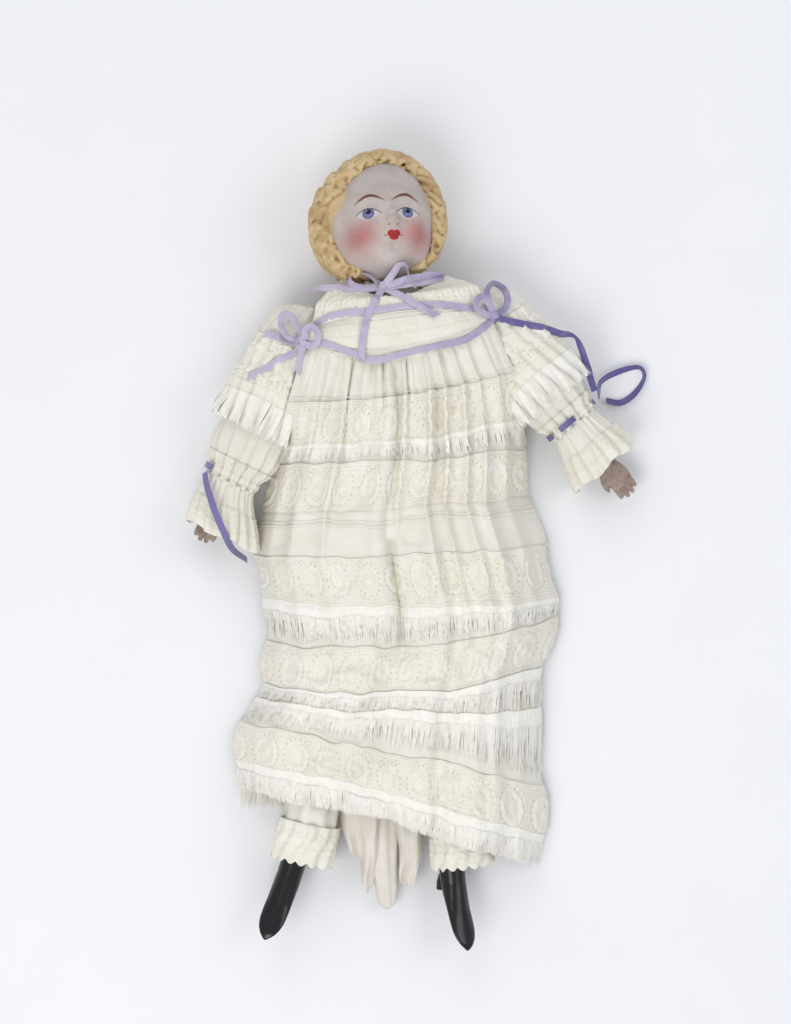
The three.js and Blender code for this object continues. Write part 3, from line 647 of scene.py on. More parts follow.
def sleeve_place(arm):
    """Round the arm by u, from its underside, and along it by v."""
    matrix = turned(arm["seam"], arm["yaw"])
    end = arm["end"]
    stations = np.array([(13, 11.5), (6, 16), (-12, 18.6), (-40, 19.6), (18 - end, 18.2), (7 - end, 14.2),
                         (-end, 12.4)])

    def place(u, v):
        angle = math.tau * u + math.pi
        y = 13 - (13 + end) * v
        radius = np.interp(-y, -stations[:, 0], stations[:, 1])
        low = smooth(0.5, 0.98, v)
        radius = radius + low * (1.7 * np.cos(13 * angle + 2 * np.sin(5 * v)) + 0.8 * np.cos(29 * angle))
        radius = radius + 1.0 * ripple(angle * 18, y, 31 + arm["side"], 21, 6) * np.sin(math.pi * np.clip(v, 0, 1))
        radius = radius - 1.4 * bell((v - 0.93) / 0.025)
        x = radius * np.sin(angle)
        z = radius * np.cos(angle) * SLEEVE_FLATNESS
        return carried(matrix, x, y, np.maximum(z, SLEEVE_UNDERSIDE))

    return place


def frill_place(arm):
    matrix = turned(arm["seam"], arm["yaw"])
    end, length = arm["end"], 27
    drift = {-1: 9.0, 1: -2.0}[arm["side"]]

    def place(u, v):
        angle = math.tau * u + math.pi
        y = 1.4 - end - (length + 1.9) * v + 1.2 * np.sin(5 * angle) * v
        radius = 12.9 + 6.7 * smooth(-0.1, 1.0, v) + v * 1.9 * np.cos(15 * angle + 0.6 * np.sin(3 * angle))
        radius = radius + (1 - v) * 1.0 * np.cos(26 * angle)
        x = radius * np.sin(angle) + drift * v ** 1.3
        z = radius * np.cos(angle) * SLEEVE_FLATNESS
        return carried(matrix, x, y, np.maximum(z, SLEEVE_UNDERSIDE))

    return place


def ruffle_place(arm):
    """The deep lace ruffle that lies over the upper arm, from the yoke, v=0, outwards and down."""
    matrix = turned(arm["seam"], arm["yaw"])
    inner = arm["side"]

    def place(u, v):
        angle = math.radians(-80) + math.radians(160) * u
        y = 16 - 70 * v - 5 * np.abs(np.sin(angle)) * (1 - v)
        folds = 1.5 * np.cos(19 * angle + 2.5 * np.sin(4 * v)) * (0.35 + 0.65 * v)
        radius = 14 + 6.3 * smooth(-0.1, 0.24, v) + 3.0 * v + folds
        radius = radius + 0.7 * ripple(angle * 20, y, 40 + inner, 13, 6)
        x = radius * np.sin(angle) * 1.05
        z = radius * np.cos(angle) * SLEEVE_FLATNESS + 1.4
        return carried(matrix, x, y, z)

    return place


def sleeve(name, arm, materials):
    cloth = Cloth(sleeve_place(arm), 160, 90, closed=True)
    tube = panel(f"sleeve_cloth_{name}", cloth, materials["muslin"], (0, 1, 0, 1), 1.1, 0.0, 0.4)
    band = panel(f"sleeve_beading_{name}", cloth, materials["narrow lace"], (0, 1, 0.87, 0.97), 0.6, 0.45, 0.0,
                 medallions(5.5, 9, 0.3))
    cuff = Cloth(frill_place(arm), 170, 40, closed=True)
    frill = panel(f"cuff_frill_{name}", cuff, materials["muslin"], (0, 1, 0, 0.72), 1.0, 0.0, 0.3)
    edge = panel(f"cuff_lace_{name}", cuff, materials["narrow lace"], (0, 1, 0.45, 0.98), 0.6, 0.35, 0.0,
                 medallions(7, 14, 0.3))
    for part in (tube, band, frill, edge):
        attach(part, f"{name}_arm")
    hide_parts(f"sleeve_{name}")
    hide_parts(f"sleeve_frill_{name}")

    over = Cloth(ruffle_place(arm), 90, 80)
    ruffle = panel(f"ruffle_muslin_{name}", over, materials["muslin"], (0, 1, 0, 0.86), 1.1, 0.0, 0.3)
    lace = panel(f"ruffle_lace_{name}", over, materials["ruffle lace"], (0.01, 0.99, 0.3, 0.8), 0.62, 0.5, 0.0,
                 medallions(16, 30, 0.45))
    fall = fringe(f"ruffle_fringe_{name}", over, 0.8, 0.25, materials["fringe"], (0.01, 0.99), 0.34, 0.7, 3, 7)
    for part in (ruffle, lace, fall):
        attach(part, f"{name}_arm")
    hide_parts(f"shoulder_ruffle_{name}")
    return [cloth, over]


# ---- ribbons ----
def curve(route, step=1.0):
    """A smooth line through a few places, with a point about every step millimetres."""
    route = np.asarray(route, dtype=float)
    ends = np.concatenate([2 * route[:1] - route[1:2], route, 2 * route[-1:] - route[-2:-1]])
    parts = []
    for k in range(len(route) - 1):
        a, b, c, d = ends[k:k + 4]
        count = max(2, int(np.linalg.norm((c - b)[:3]) / step) + 1)
        t = np.linspace(0, 1, count, endpoint=False)[:, None]
        square, cube = (2 * a - 5 * b + 4 * c - d) * t ** 2, (3 * b - a - 3 * c + d) * t ** 3
        parts.append(0.5 * (2 * b + (c - a) * t + square + cube))
    return np.concatenate(parts + [route[-1:]])


def unit(rows):
    return rows / np.maximum(1e-9, np.linalg.norm(rows, axis=-1, keepdims=True))


def strip(route, width=RIBBON_WIDTH, step=0.8, columns=4, crown=0.25, cut=0.0, across=None):
    """Points, faces and marks of a ribbon on a route of (x, y, z, turn): turn tilts its face from facing up."""
    line = curve(route, step)
    middle, turn = line[:, :3], np.radians(line[:, 3:4])
    run = unit(np.gradient(middle, axis=0))
    side = unit(np.cross((0.0, 0.0, 1.0), run)) if across is None else np.tile(across, (len(run), 1))
    face = np.cross(run, side)
    side, face = side * np.cos(turn) + face * np.sin(turn), face * np.cos(turn) - side * np.sin(turn)
    s = np.linspace(-0.5, 0.5, columns + 1)[None, :, None]
    points = middle[:, None] + side[:, None] * width * s + face[:, None] * crown * (1 - 4 * s * s)
    points[-1] = points[-1] + run[-1] * cut * width * s[0]
    along = np.concatenate([[0], np.cumsum(np.linalg.norm(np.diff(middle, axis=0), axis=1))])
    marks = np.stack(np.broadcast_arrays((s[..., 0] + 0.5) * width, along[:, None]), axis=-1)
    return points, grid_faces(columns, len(line) - 1), marks


def sewn(name, parts, material, thick=0.22):
    """Several grids as one piece with a thickness."""
    start, faces = 0, []
    for points, links, _ in parts:
        faces.append(links + start)
        start += points.reshape(-1, 3).shape[0]
    points = np.concatenate([places.reshape(-1, 3) for places, _, _ in parts])
    marks = np.concatenate([flat.reshape(-1, 2) for _, _, flat in parts])
    made = piece(name, points, np.concatenate(faces), material, marks)
    worked(made, "SOLIDIFY", thickness=thick * MM, offset=0)
    bpy.ops.object.shade_smooth_by_angle(angle=math.radians(40))
    return made


def knot(x, y, z, radius=2.1, width=3.4, heading=0.0):
    """The turn of ribbon round the middle of a bow."""
    angle = np.linspace(0, math.tau, 15)
    lean = math.radians(heading)
    side = (math.cos(lean), math.sin(lean), 0.0)
    over = (-math.sin(lean), math.cos(lean), 0.0)
    route = np.column_stack([x + over[0] * radius * np.cos(angle), y + over[1] * radius * np.cos(angle),
                             z + radius * 0.8 * np.sin(angle), 0 * angle])
    return strip(route, width, 0.5, 4, 0.0, across=side)


def level(cloths, x, y):
    """How high the highest of the cloths stands at each place, or past their edges the nearest of them."""
    heights, gaps = [], []
    for cloth in cloths:
        rows = cloth.points.reshape(-1, 3)
        gap = (rows[None, :, 0] - np.asarray(x)[:, None]) ** 2 + (rows[None, :, 1] - np.asarray(y)[:, None]) ** 2
        near = gap.argmin(axis=1)
        heights.append(rows[near, 2])
        gaps.append(gap[np.arange(len(near)), near])
    heights, gaps = np.array(heights), np.array(gaps)
    over = np.where(gaps < 6, heights, -99).max(axis=0)
    nearest = heights[gaps.argmin(axis=0), np.arange(heights.shape[1])]
    return np.where(over > -99, over, nearest)


def laid(route, cloths, rest=1.1):
    """A route of (x, y, height over the cloth, turn) with its heights made absolute."""
    route = np.asarray(route, dtype=float)
    fine = curve(route, 1.5)
    high = level(cloths, fine[:, 0], fine[:, 1])
    for _ in range(3):
        padded = np.pad(high, 1, mode="edge")
        high = np.maximum(high, (padded[:-2] + padded[1:-1] + padded[2:]) / 3)
    fine[:, 2] += high + rest
    return fine


YOKE_RIBBONS = {
    "upper": [(-45, 96, 0, 0), (-36.6, 101.6, 0, 4), (-26.6, 104.1, 0, -4), (-15.6, 104.8, 0, 0), (-4.6, 106.1, 0, 5),
              (7.4, 108.0, 0, 0), (22.3, 108.6, 0, -4), (34, 107.3, 0, 3), (44, 106.3, 0, 0), (50, 103.4, 0, 0)],
    "lower": [(-46, 87.8, 0, 0), (-36.6, 88.0, 0, 5), (-29.6, 85.6, 0, 0), (-22.6, 83.1, 0, -5), (-15.6, 79.9, 0, 0),
              (-10, 79.2, 0, 6), (-4.6, 80.4, 0, 0), (7.4, 83.4, 0, -4), (20.3, 86.4, 0, 0), (31, 88.6, 0, 4),
              (38, 91, 0, 0), (46.6, 96.9, 0, -4), (51.3, 101.7, 0, 0)],
}
NECK_BOW = [  # every loop and tail starts or ends at the knot
    [(-7.5, 118.6, 1.5, 10), (-10.4, 120.9, 4, 55), (-14.1, 123.9, 6, 74), (-18.9, 125.3, 6.5, 80),
     (-22.6, 124.6, 5, 74),
     (-24.0, 121.8, 3, 50), (-22.4, 119.2, 1.4, 14), (-17.8, 117.7, 0.8, 0), (-12.5, 117.5, 1, 0),
     (-8.2, 117.8, 1.5, 0)],
    [(-8.5, 118.2, 1, 0), (-16.8, 116.9, 0.2, 5), (-24.2, 117.2, 0.3, 18), (-29.6, 118.2, 0.3, 8),
     (-35.4, 117.9, 0.3, 0),
     (-40, 118.0, 0.2, 30), (-45.0, 116.6, 0.2, 55)],
    [(-5.6, 118.9, 2, 0), (-2.9, 122.1, 4, 8), (-0.3, 125.8, 5.5, 0), (1.6, 128.5, 6, 30), (4.6, 128.8, 5.8, 62),
     (6.1, 126.2, 5, 78), (6.3, 122.9, 3.6, 70), (2.9, 120.4, 2, 40), (-4.0, 118.4, 1.5, 10)],
    [(-4.5, 118.8, 2, 0), (0.2, 119.8, 3, 10), (6.6, 121.9, 3.6, 20), (13.0, 123.5, 3.6, 30), (19.9, 125.0, 3, 44),
     (25.2, 124.6, 1.8, 70), (22.5, 122.6, 1.0, 35), (15.1, 121.0, 1.0, 12), (7.7, 119.4, 1.2, 5),
     (-4.5, 117.8, 1.5, 0)],
]
NECK_TAILS = [
    [(-6.6, 117.2, 1, 0), (-10.6, 110.4, 0.9, 8), (-14.6, 102.4, 1, -8), (-17.1, 91.4, 0.9, 10),
     (-17.6, 79.8, 1.1, 0)],
    [(-6.2, 117.2, 1.2, 0), (2.4, 113.4, 0.9, -8), (12.3, 107.5, 1.1, 12), (21.5, 102.4, 0.7, -5)],
]
RIGHT_BOW = [
    [(-49.0, 89.9, 1.5, 0), (-53.5, 91.0, 3, 15), (-57.8, 93.2, 4, 30), (-60.2, 98.4, 5, 20), (-59.3, 104.3, 5, 0),
     (-54.5, 102.9, 4, -18), (-51.2, 97.0, 3, -14), (-48.4, 90.4, 1.5, 0)],
    [(-47.5, 90.4, 1.5, 0), (-47.2, 95.6, 3.5, 24), (-43.9, 97.3, 4, 40), (-40.6, 93.4, 3.4, 24),
     (-41.2, 88.8, 2, 10),
     (-43.9, 87.0, 1.5, 0), (-47.0, 88.0, 1.3, 0)],
]
RIGHT_TAILS = [
    [(-49.6, 88.9, 1, 0), (-54, 89.2, 0.4, 12), (-58.5, 90.3, 0.4, 30), (-63.5, 93.1, 0.4, 0),
     (-69.2, 94.3, 0.4, -25)],
    [(-49.4, 87.2, 1, 0), (-53.6, 83.7, 0.4, 5), (-60.6, 80.5, 0.4, -6), (-69.6, 75.0, 0.4, 8),
     (-78.0, 71.5, 0.6, 0)],
    [(-48.4, 86.8, 1, 0), (-50.3, 79.6, 0.6, -14), (-51.7, 73.4, 0.5, 10)],
]
LEFT_BOW = [
    [(51.2, 102.8, 1.5, 0), (46.5, 104.1, 2.6, 10), (42.4, 107.2, 3.6, 25), (43.3, 112.2, 4, 35),
     (46.9, 112.6, 4, 20),
     (49.4, 108.6, 3, 5), (51.5, 103.4, 1.5, 0)],
    [(51.7, 104.3, 1.5, 0), (48.9, 110.4, 4, 20), (48.3, 116.5, 6, 34), (51.6, 120.9, 6.5, 40), (56.6, 118.6, 6, 24),
     (59.0, 113.2, 5, 10), (58.0, 107.6, 3, 0), (53.2, 103.8, 1.4, 0)],
]
LEFT_TAIL = [(52.7, 102.5, 1, 0), (59.7, 100.7, 0.6, 12), (66.6, 99.3, 0.6, -4), (73.6, 98.4, 0.6, 8),
             (80.5, 97.0, 0.8, -10),
             (88.0, 94.6, 1.2, 8), (91.6, 94.3, 1.6, 40), (95.6, 92.6, 1.8, 66), (98.4, 87.6, 2.2, 30),
             (101.4, 78.7, 2.4, 10),
             (104.2, 70.0, 2.0, 0), (106.2, 64.4, 1.6, 0)]


def bows(cloths, materials):
    """The ribbons that are sewn along the yoke and the three bows on them."""
    def laid_strips(routes, cut=0.0):
        return [strip(laid(route, cloths), step=0.8, cut=cut) for route in routes]

    made = {}
    for name, route in YOKE_RIBBONS.items():
        made[f"yoke_ribbon_{name}"] = sewn(f"satin_along_yoke_{name}", laid_strips([route]), materials["pale ribbon"])
    places = {  # x and y of the knot, loops, tails, how the knot is turned
        "neck_bow": (-6.4, 118.2, NECK_BOW, NECK_TAILS, 65),
        "shoulder_bow_right": (-48.4, 88.7, RIGHT_BOW, RIGHT_TAILS, 20),
        "shoulder_bow_left": (51.9, 102.9, LEFT_BOW, [], 110),
    }
    for name, (x, y, loops, tails, heading) in places.items():
        high = level(cloths, [x], [y])[0] + 2.2
        parts = laid_strips(loops) + laid_strips(tails, 0.9) + [knot(x, y, high, heading=heading)]
        made[name] = sewn(f"satin_{name}", parts, materials["pale ribbon"])
    for node, part in made.items():
        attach(part, "torso")
        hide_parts(node)
    tail = sewn("shoulder_bow_left_tail", laid_strips([LEFT_TAIL]), materials["violet ribbon"])
    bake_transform(tail)


# Where each loose end at a wrist lies, from the sleeve's end in the arm's frame.
WRIST_TAILS = {
    "right": [(-14, 0, 10), (-10.5, -5, 13), (-5.6, -10, 17), (1, -16.5, 19.5), (8.5, -23, 19), (17, -30, 12),
              (26, -32.5, -4)],
    "left": [(19, 4, 2), (26, 9.5, -6), (36.5, 8, -13), (47.5, 2.5, -15.6), (46.5, -3.5, -15.6), (37, -7, -15.6),
             (28, -6, -15.6), (22.5, 0, -14)],
}
TAIL_TURNS = {"right": (40, 30, 15, 0, -10, -30, -50), "left": (70, 45, 30, 55, 62, 35, 20, 35)}


def wrist_tails(materials):
    for name, arm in ARMS.items():
        matrix = turned(arm["seam"], arm["yaw"])
        route = [(*(matrix @ Vector((x, y - arm["end"], z))), turn)
                 for (x, y, z), turn in zip(WRIST_TAILS[name], TAIL_TURNS[name])]
        tail = sewn(f"wrist_tail_loose_{name}", [strip(route, step=0.8, columns=1, crown=0.0)],
                    materials["violet ribbon"])
        line = curve(route, 0.8)[:, :3]
        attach(tail, f"{name}_arm")
        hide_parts(f"wrist_tail_{name}")


def wrist_ribbon(name, arm, materials):
    """The ribbon threaded through the holes of the wrist's beading: it shows on top between stretches of lace."""
    matrix = np.array(turned(arm["seam"], arm["yaw"]))
    stretches = {"right": [(-2.0, -0.75)], "left": [(-1.35, -0.95), (-0.55, 0.1), (1.15, 1.7)]}[name]
    parts = []
    for first, last in stretches:
        angle = np.linspace(first, last, 14)
        x, z = 16.4 * np.sin(angle), 16.4 * 0.86 * np.cos(angle)
        points = np.stack(carried(matrix, x, 4.2 - arm["end"], z), axis=-1)
        along = tuple(matrix[:3, :3] @ np.array((0.0, -1.0, 0.0)))
        parts.append(strip([(*p, 0) for p in points], 3.2, 0.8, 3, 0.1, across=along))
    made = sewn(f"wrist_ribbon_shown_{name}", parts, materials["violet ribbon"])
    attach(made, f"{name}_arm")
    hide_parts(f"wrist_ribbon_{name}")


# ---- solids drawn out ring by ring ----
def drawn(name, rings, vertices):
    """A solid drawn out from a circle: each ring is (y, half width, half depth, x, z, lean in degrees about X)."""
    clear_selection()
    y, wide, deep, x, z, lean = rings[0]
    start = (x * MM, y * MM, z * MM)
    bpy.ops.mesh.primitive_circle_add(vertices=vertices, radius=MM, fill_type="NGON", location=start,
                                      rotation=(math.radians(90), 0, 0))
    made = bpy.context.object
    bpy.ops.object.mode_set(mode="EDIT")
    bpy.ops.mesh.select_all(action="SELECT")
    bpy.ops.transform.resize(value=(wide, 1, deep), center_override=start, orient_type="GLOBAL")
    bpy.ops.object.mode_set(mode="OBJECT")
    clear_selection()
    made.select_set(True)
    bpy.context.view_layer.objects.active = made
    bpy.ops.object.transform_apply(location=True, rotation=True, scale=True)
    bpy.ops.object.mode_set(mode="EDIT")
    bpy.ops.mesh.select_all(action="SELECT")
    for last, ring in zip(rings, rings[1:]):
        shift = ((ring[3] - last[3]) * MM, (ring[0] - last[0]) * MM, (ring[4] - last[4]) * MM)
        bpy.ops.mesh.extrude_region_move(TRANSFORM_OT_translate={"value": shift})
        centre = (ring[3] * MM, ring[0] * MM, ring[4] * MM)
        bpy.ops.transform.resize(value=(ring[1] / last[1], 1, ring[2] / last[2]), center_override=centre,
                                 orient_type="GLOBAL")
        if ring[5] != last[5]:
            bpy.ops.transform.rotate(value=-math.radians(ring[5] - last[5]), orient_axis="X", center_override=centre)
    bpy.ops.mesh.select_all(action="SELECT")
    bpy.ops.mesh.normals_make_consistent(inside=False)
    bpy.ops.object.mode_set(mode="OBJECT")
    made.name = made.data.name = name
    return made


def placed(made, matrix):
    """Moves a piece's mesh, made in a limb's frame in metres, to its place."""
    m = matrix.copy()
    m.translation = ZERO + m.translation * MM
    made.data.transform(m)
    made.data.update()
    return made


def dressed(made, material):
    made.data.materials.clear()
    made.data.materials.append(material)
    made.data.shade_smooth()
    return made


def together(pieces, name):
    clear_selection()
    for part in pieces:
        part.select_set(True)
    bpy.context.view_layer.objects.active = pieces[0]
    bpy.ops.object.join()
    pieces[0].name = pieces[0].data.name = name
    return pieces[0]


def fused(pieces, name, voxel, rounds):
    """Several solids grown into one, with the joints between them smoothed."""
    made = together(pieces, name)
    worked(made, "REMESH", mode="VOXEL", voxel_size=voxel * MM)
    return worked(made, "SMOOTH", factor=0.5, iterations=rounds)


# ---- the bisque head ----
HEAD = Matrix.Translation(HEAD_CENTRE) @ Euler([math.radians(a) for a in HEAD_TURN]).to_matrix().to_4x4()
FACE_PUSHES = [  # place on the face (x, y), push (x, y, z), reach: all in the head's frame
    ((0, 16), (0, 0, -1.6), 16), ((22, 8), (-0.8, 0, -1.0), 12), ((-22, 8), (0.8, 0, -1.0), 12),
    ((21, -18), (1.4, -0.4, 1.0), 14), ((-21, -18), (-2.6, -0.8, 1.0), 14), ((-25, -6), (-2.8, 0, 0.4), 15),
    ((-25, 5), (-1.6, 0, 0), 10), ((-16, -24), (-2.2, -1.2, 0), 11), ((18, -22), (1.8, -0.8, 0), 10),
    ((14.5, -13.5), (0.8, 0, 2.4), 10), ((-14.5, -13.5), (-0.8, 0, 2.4), 10),
    ((1, -26), (0, -0.2, 3.0), 10), ((10.5, -3), (0, 0, -2.8), 8), ((-10.3, -3), (0, 0, -2.8), 8),
    ((10.5, -3.8), (0, 0, 1.8), 4.6), ((-10.3, -3.8), (0, 0, 1.8), 4.6),
    ((10, 5), (0, 0, 1.0), 6), ((-10, 5), (0, 0, 1.0), 6), ((0.6, 1), (0, 0, 1.3), 4.2),
    ((1.0, -4), (0.2, 0, 2.4), 4), ((1.8, -8.2), (0.3, 0, 5.2), 4.8), ((2.0, -8.8), (0, -0.3, 1.0), 2),
    ((4.2, -9.6), (0.4, 0, 1.4), 2.2), ((-0.6, -9.6), (-0.4, 0, 1.4), 2.2), ((1.8, -12.2), (0, 0, -0.7), 2),
    ((2.0, -15.6), (0, 0, 2.2), 7.5), ((3.7, -14.6), (0, 0, 0.7), 1.8), ((0.5, -14.6), (0, 0, 0.7), 1.8),
    ((2.1, -17.2), (0, 0, 0.8), 2.4), ((2.1, -15.8), (0, 0, -0.45), 1.2), ((4.4, -15.8), (0, 0, -0.4), 1.1),
    ((-0.2, -15.8), (0, 0, -0.4), 1.1), ((6.6, -15.7), (0, 0, -0.7), 1.9), ((-2.4, -15.7), (0, 0, -0.7), 1.9),
    ((2.1, -20.2), (0, 0, -1.3), 3.6), ((2.2, -13.0), (0, 0, -0.35), 1.2),
]


def pushed(made, pushes):
    """Presses and pulls the front of a piece, each push fading out over its reach."""
    bpy.ops.object.mode_set(mode="EDIT")
    shape = bmesh.from_edit_mesh(made.data)
    shape.verts.ensure_lookup_table()
    for (x, y), push, reach in pushes:
        bpy.ops.mesh.select_all(action="DESELECT")
        front = [v for v in shape.verts if v.co.z > 0]
        near = min(front, key=lambda v: (v.co.x - x * MM) ** 2 + (v.co.y - y * MM) ** 2)
        near.select_set(True)
        shape.select_flush_mode()
        bpy.ops.transform.translate(value=[p * MM for p in push], use_proportional_edit=True,
                                    proportional_edit_falloff="SMOOTH", proportional_size=reach * MM)
    bpy.ops.object.mode_set(mode="OBJECT")
    return made


def bisque():
    """Unglazed tinted china: pale skin with painted eyes, brows, mouth and cheeks."""
    paint = Paint("bisque", Subsurface_Weight=0.06, Specular_IOR_Level=0.35)
    turn = tuple(math.radians(a) for a in HEAD_TURN)
    where = paint.places("Object", 1000.0, location=at(*HEAD_CENTRE), rotation=turn)
    x, y, z = paint.split(where)
    front = z.above(8, 4)
    stain = paint.noise(paint.places(), 0.09, 4.0)
    specks = paint.noise(paint.places(), 0.6, 5.0, 0.7)
    skin = paint.mix((stain * 0.8 + specks * 0.25 - 0.05).above(0.5, 0.22), srgb(184, 173, 168), srgb(204, 194, 189))

    def shown(skin, mask, colour):
        return paint.mix(mask * front, skin, colour)

    def blob(cx, cy, rx, ry):
        dx, dy = (x - cx) / rx, (y - cy) / ry
        return dx * dx + dy * dy

    for side in (-1, 1):
        cheek = paint.math("EXPONENT", blob(side * 15.2 + 0.6, -14.6, 8.6, 7.6) * -1.0)
        skin = shown(skin, cheek * (0.55 + specks * 0.5), srgb(178, 98, 96))
    for side in (-1, 1):
        cx = side * 10.3
        dx = x - cx
        lid = -0.9 - dx * dx * 0.085
        low = -6.6 + dx * dx * 0.07
        within = abs(dx)
        opening = (lid - y).above(0.0, 0.15) * (y - low).above(0.0, 0.3) * within.below(5.6, 0.3)
        skin = shown(skin, opening * 0.45, srgb(214, 213, 216))
        iris = blob(cx, -3.5, 3.0, 3.0)
        ring = paint.mix(iris.above(0.5, 0.4), srgb(106, 116, 164), srgb(70, 80, 132))
        skin = shown(skin, opening * iris.below(1.0, 0.16) * 0.92, ring)
        skin = shown(skin, opening * blob(cx, -2.7, 1.5, 1.4).below(1.0, 0.3), srgb(22, 22, 32))
        # a small pale dot beside each pupil: a painted highlight
        skin = shown(skin, blob(cx - 0.9, -2.0, 0.36, 0.36).below(1.0, 0.4) * 0.7, srgb(214, 216, 222))
        edge = abs(y - lid)
        reach = within.below(6.4, 0.5)
        skin = shown(skin, edge.below(0.28, 0.18) * reach * 0.9, srgb(44, 42, 50))
        crease = abs(y - (lid + 1.5)).below(0.12, 0.2)
        skin = shown(skin, crease * reach * 0.3, srgb(130, 104, 96))
        across = x * side - 9.4
        arch = 5.4 - across * across * 0.058
        swell = 0.86 - across * across * 0.0125
        off = abs(y - arch)
        brow = (swell - off).above(0.0, 0.2) * abs(across).below(8.0, 0.5)
        hue = paint.mix(off.above(0.35, 0.3), srgb(124, 62, 34), srgb(66, 44, 36))
        skin = shown(skin, brow * 0.94, hue)
        skin = shown(skin, blob(1.9 + side * 2.2, -10.8, 0.62, 0.42).below(1.0, 0.5) * 0.6, srgb(120, 66, 58))
    lips = blob(0.6, -14.9, 1.9, 1.5).below(1.0, 0.14)
    for other in (blob(3.7, -14.9, 1.9, 1.5), blob(2.15, -16.4, 2.6, 1.75)):
        lips = paint.math("MAXIMUM", lips, other.below(1.0, 0.14))
    corners = abs(y + 15.7).below(0.2, 0.16) * abs(x - 2.15).below(5.0, 0.4)
    skin = shown(skin, paint.math("MAXIMUM", lips, corners), srgb(168, 38, 42))
    skin = shown(skin, abs(y + 15.7).below(0.14, 0.14) * lips * 0.6, srgb(96, 22, 28))
    paint.set(Base_Color=skin, Roughness=0.5 + stain * 0.14)
    paint.bump(specks + stain * 2, 0.12, 0.0002)
    return paint.material


def plain_bisque():
    """The bisque of the hands: greyer, soiled in patches."""
    paint = Paint("soiled_bisque", Subsurface_Weight=0.04)
    stain = paint.noise(paint.places(), 0.16, 5.0, 0.65)
    specks = paint.noise(paint.places(), 0.9, 5.0, 0.7)
    soil = (stain + specks * 0.3 - 0.12).above(0.52, 0.24)
    paint.set(Base_Color=paint.mix(soil, srgb(130, 113, 102), srgb(172, 154, 142)), Roughness=0.52 + stain * 0.2)
    paint.bump(stain * 2 + specks, 0.2, 0.0003)
    return paint.material


def golden_hair():
    """Fired yellow colour on the curls, with painted shade darkening their hollows."""
    paint = Paint("painted_hair", Specular_IOR_Level=0.4)
    where = paint.places()
    tone = paint.noise(where, 0.11, 3.0)
    wear = paint.noise(where, 0.5, 5.0, 0.7)
    pointiness_for_painted_shade = paint.node("ShaderNodeNewGeometry", output="Pointiness")
    base = paint.mix((tone + wear * 0.35 - 0.15).above(0.52, 0.22), srgb(186, 156, 108), srgb(216, 192, 150))
    # the dark colour where pointiness is low is painted shade in the hollows between the locks
    paint.set(Base_Color=paint.mix(pointiness_for_painted_shade.above(0.485, 0.03), srgb(150, 122, 78), base), Roughness=0.5 + wear * 0.2)
    paint.bump(wear, 0.15, 0.0002)
    return paint.material


def face(material):
    clear_selection()
    bpy.ops.mesh.primitive_ico_sphere_add(subdivisions=7, radius=1)
    made = bpy.context.object
    bpy.ops.object.mode_set(mode="EDIT")
    bpy.ops.mesh.select_all(action="SELECT")
    bpy.ops.transform.resize(value=(26.6 * MM, 31.5 * MM, 30.5 * MM), center_override=(0, 0, 0))
    bpy.ops.object.mode_set(mode="OBJECT")
    pushed(made, FACE_PUSHES)
    worked(made, "SMOOTH", factor=0.5, iterations=3)
    made.name = made.data.name = "bisque_face"
    placed(made, HEAD)
    return dressed(made, material)


def neck_and_plate(material):
    """The neck and the shoulder plate, one drawn shell open at its foot."""
    rings = [(136, 12.5, 12.5, -5, 27, 0), (126, 12.6, 12.6, -3, 26, 0), (119, 13.4, 12.8, -1.5, 25, 0),
             (114.5, 16.5, 14, 0, 25, 0), (111, 22, 16, 0, 25, 0), (107, 26, 17.4, 0, 25, 0), (101, 30, 19, 0, 25, 0),
             (94, 32.2, 20.1, 0, 25, 0), (88, 33, 20.5, 0, 25, 0), (80.5, 31.5, 20.2, 0, 25, 0)]
    made = drawn("bisque_shoulder_plate", rings, 48)
    bpy.ops.object.mode_set(mode="EDIT")
    shape = bmesh.from_edit_mesh(made.data)
    bpy.ops.mesh.select_all(action="DESELECT")
    for f in shape.faces:
        f.select_set(len(f.verts) > 4 and f.calc_center_median().y < 100 * MM)
    bpy.ops.mesh.delete(type="FACE")
    bpy.ops.object.mode_set(mode="OBJECT")
    placed(made, Matrix.Identity(4))
    worked(made, "SOLIDIFY", thickness=2.2 * MM, offset=-1)
    worked(made, "SUBSURF", levels=1, render_levels=1)
    return dressed(made, material)


# ---- the moulded hair: wavy locks that spring from the hairline and run back over the head ----
# Degrees round the face from the crown towards its left, the root's distance out, how far the lock swells out.
HAIRLINE = [
    (0, 28.6, 32.4), (15, 28.6, 33), (30, 28.2, 33.6), (46, 28, 33.8), (62, 27.8, 34.6), (78, 27, 35.4),
    (94, 27.2, 36),
    (110, 28.4, 36.2), (126, 30.6, 35.8), (141, 32, 35), (212, 33, 33.8), (226, 33, 36.8), (240, 31.4, 39.8),
    (255, 29.8, 41), (270, 28.6, 40.4), (285, 27.6, 39.2), (300, 26.6, 37.6), (315, 26, 35.8), (330, 26.2, 34.2),
    (345, 27.4, 33),
]


def lock():
    """One lock, modelled straight along -Y at a length of 1: three strands side by side, thick at its root."""
    strands = []
    for x, high in ((-0.56, 0.0), (0.0, 0.16), (0.56, 0.0)):
        rings = [(0, 0.12, 0.12, x * 0.5, high, 0)]
        for y, size in ((-0.02, 0.4), (-0.06, 0.56), (-0.14, 0.62), (-0.22, 0.62), (-0.3, 0.62), (-0.38, 0.62),
                        (-0.46, 0.62), (-0.54, 0.62), (-0.62, 0.6), (-0.72, 0.56), (-0.82, 0.5), (-0.92, 0.36),
                        (-1.0, 0.12)):
            rings.append((y, size, size * 0.9, x * (0.5 + size), high, 0))
        strands.append(drawn("strand", rings, 10))
    return together(strands, "lock")


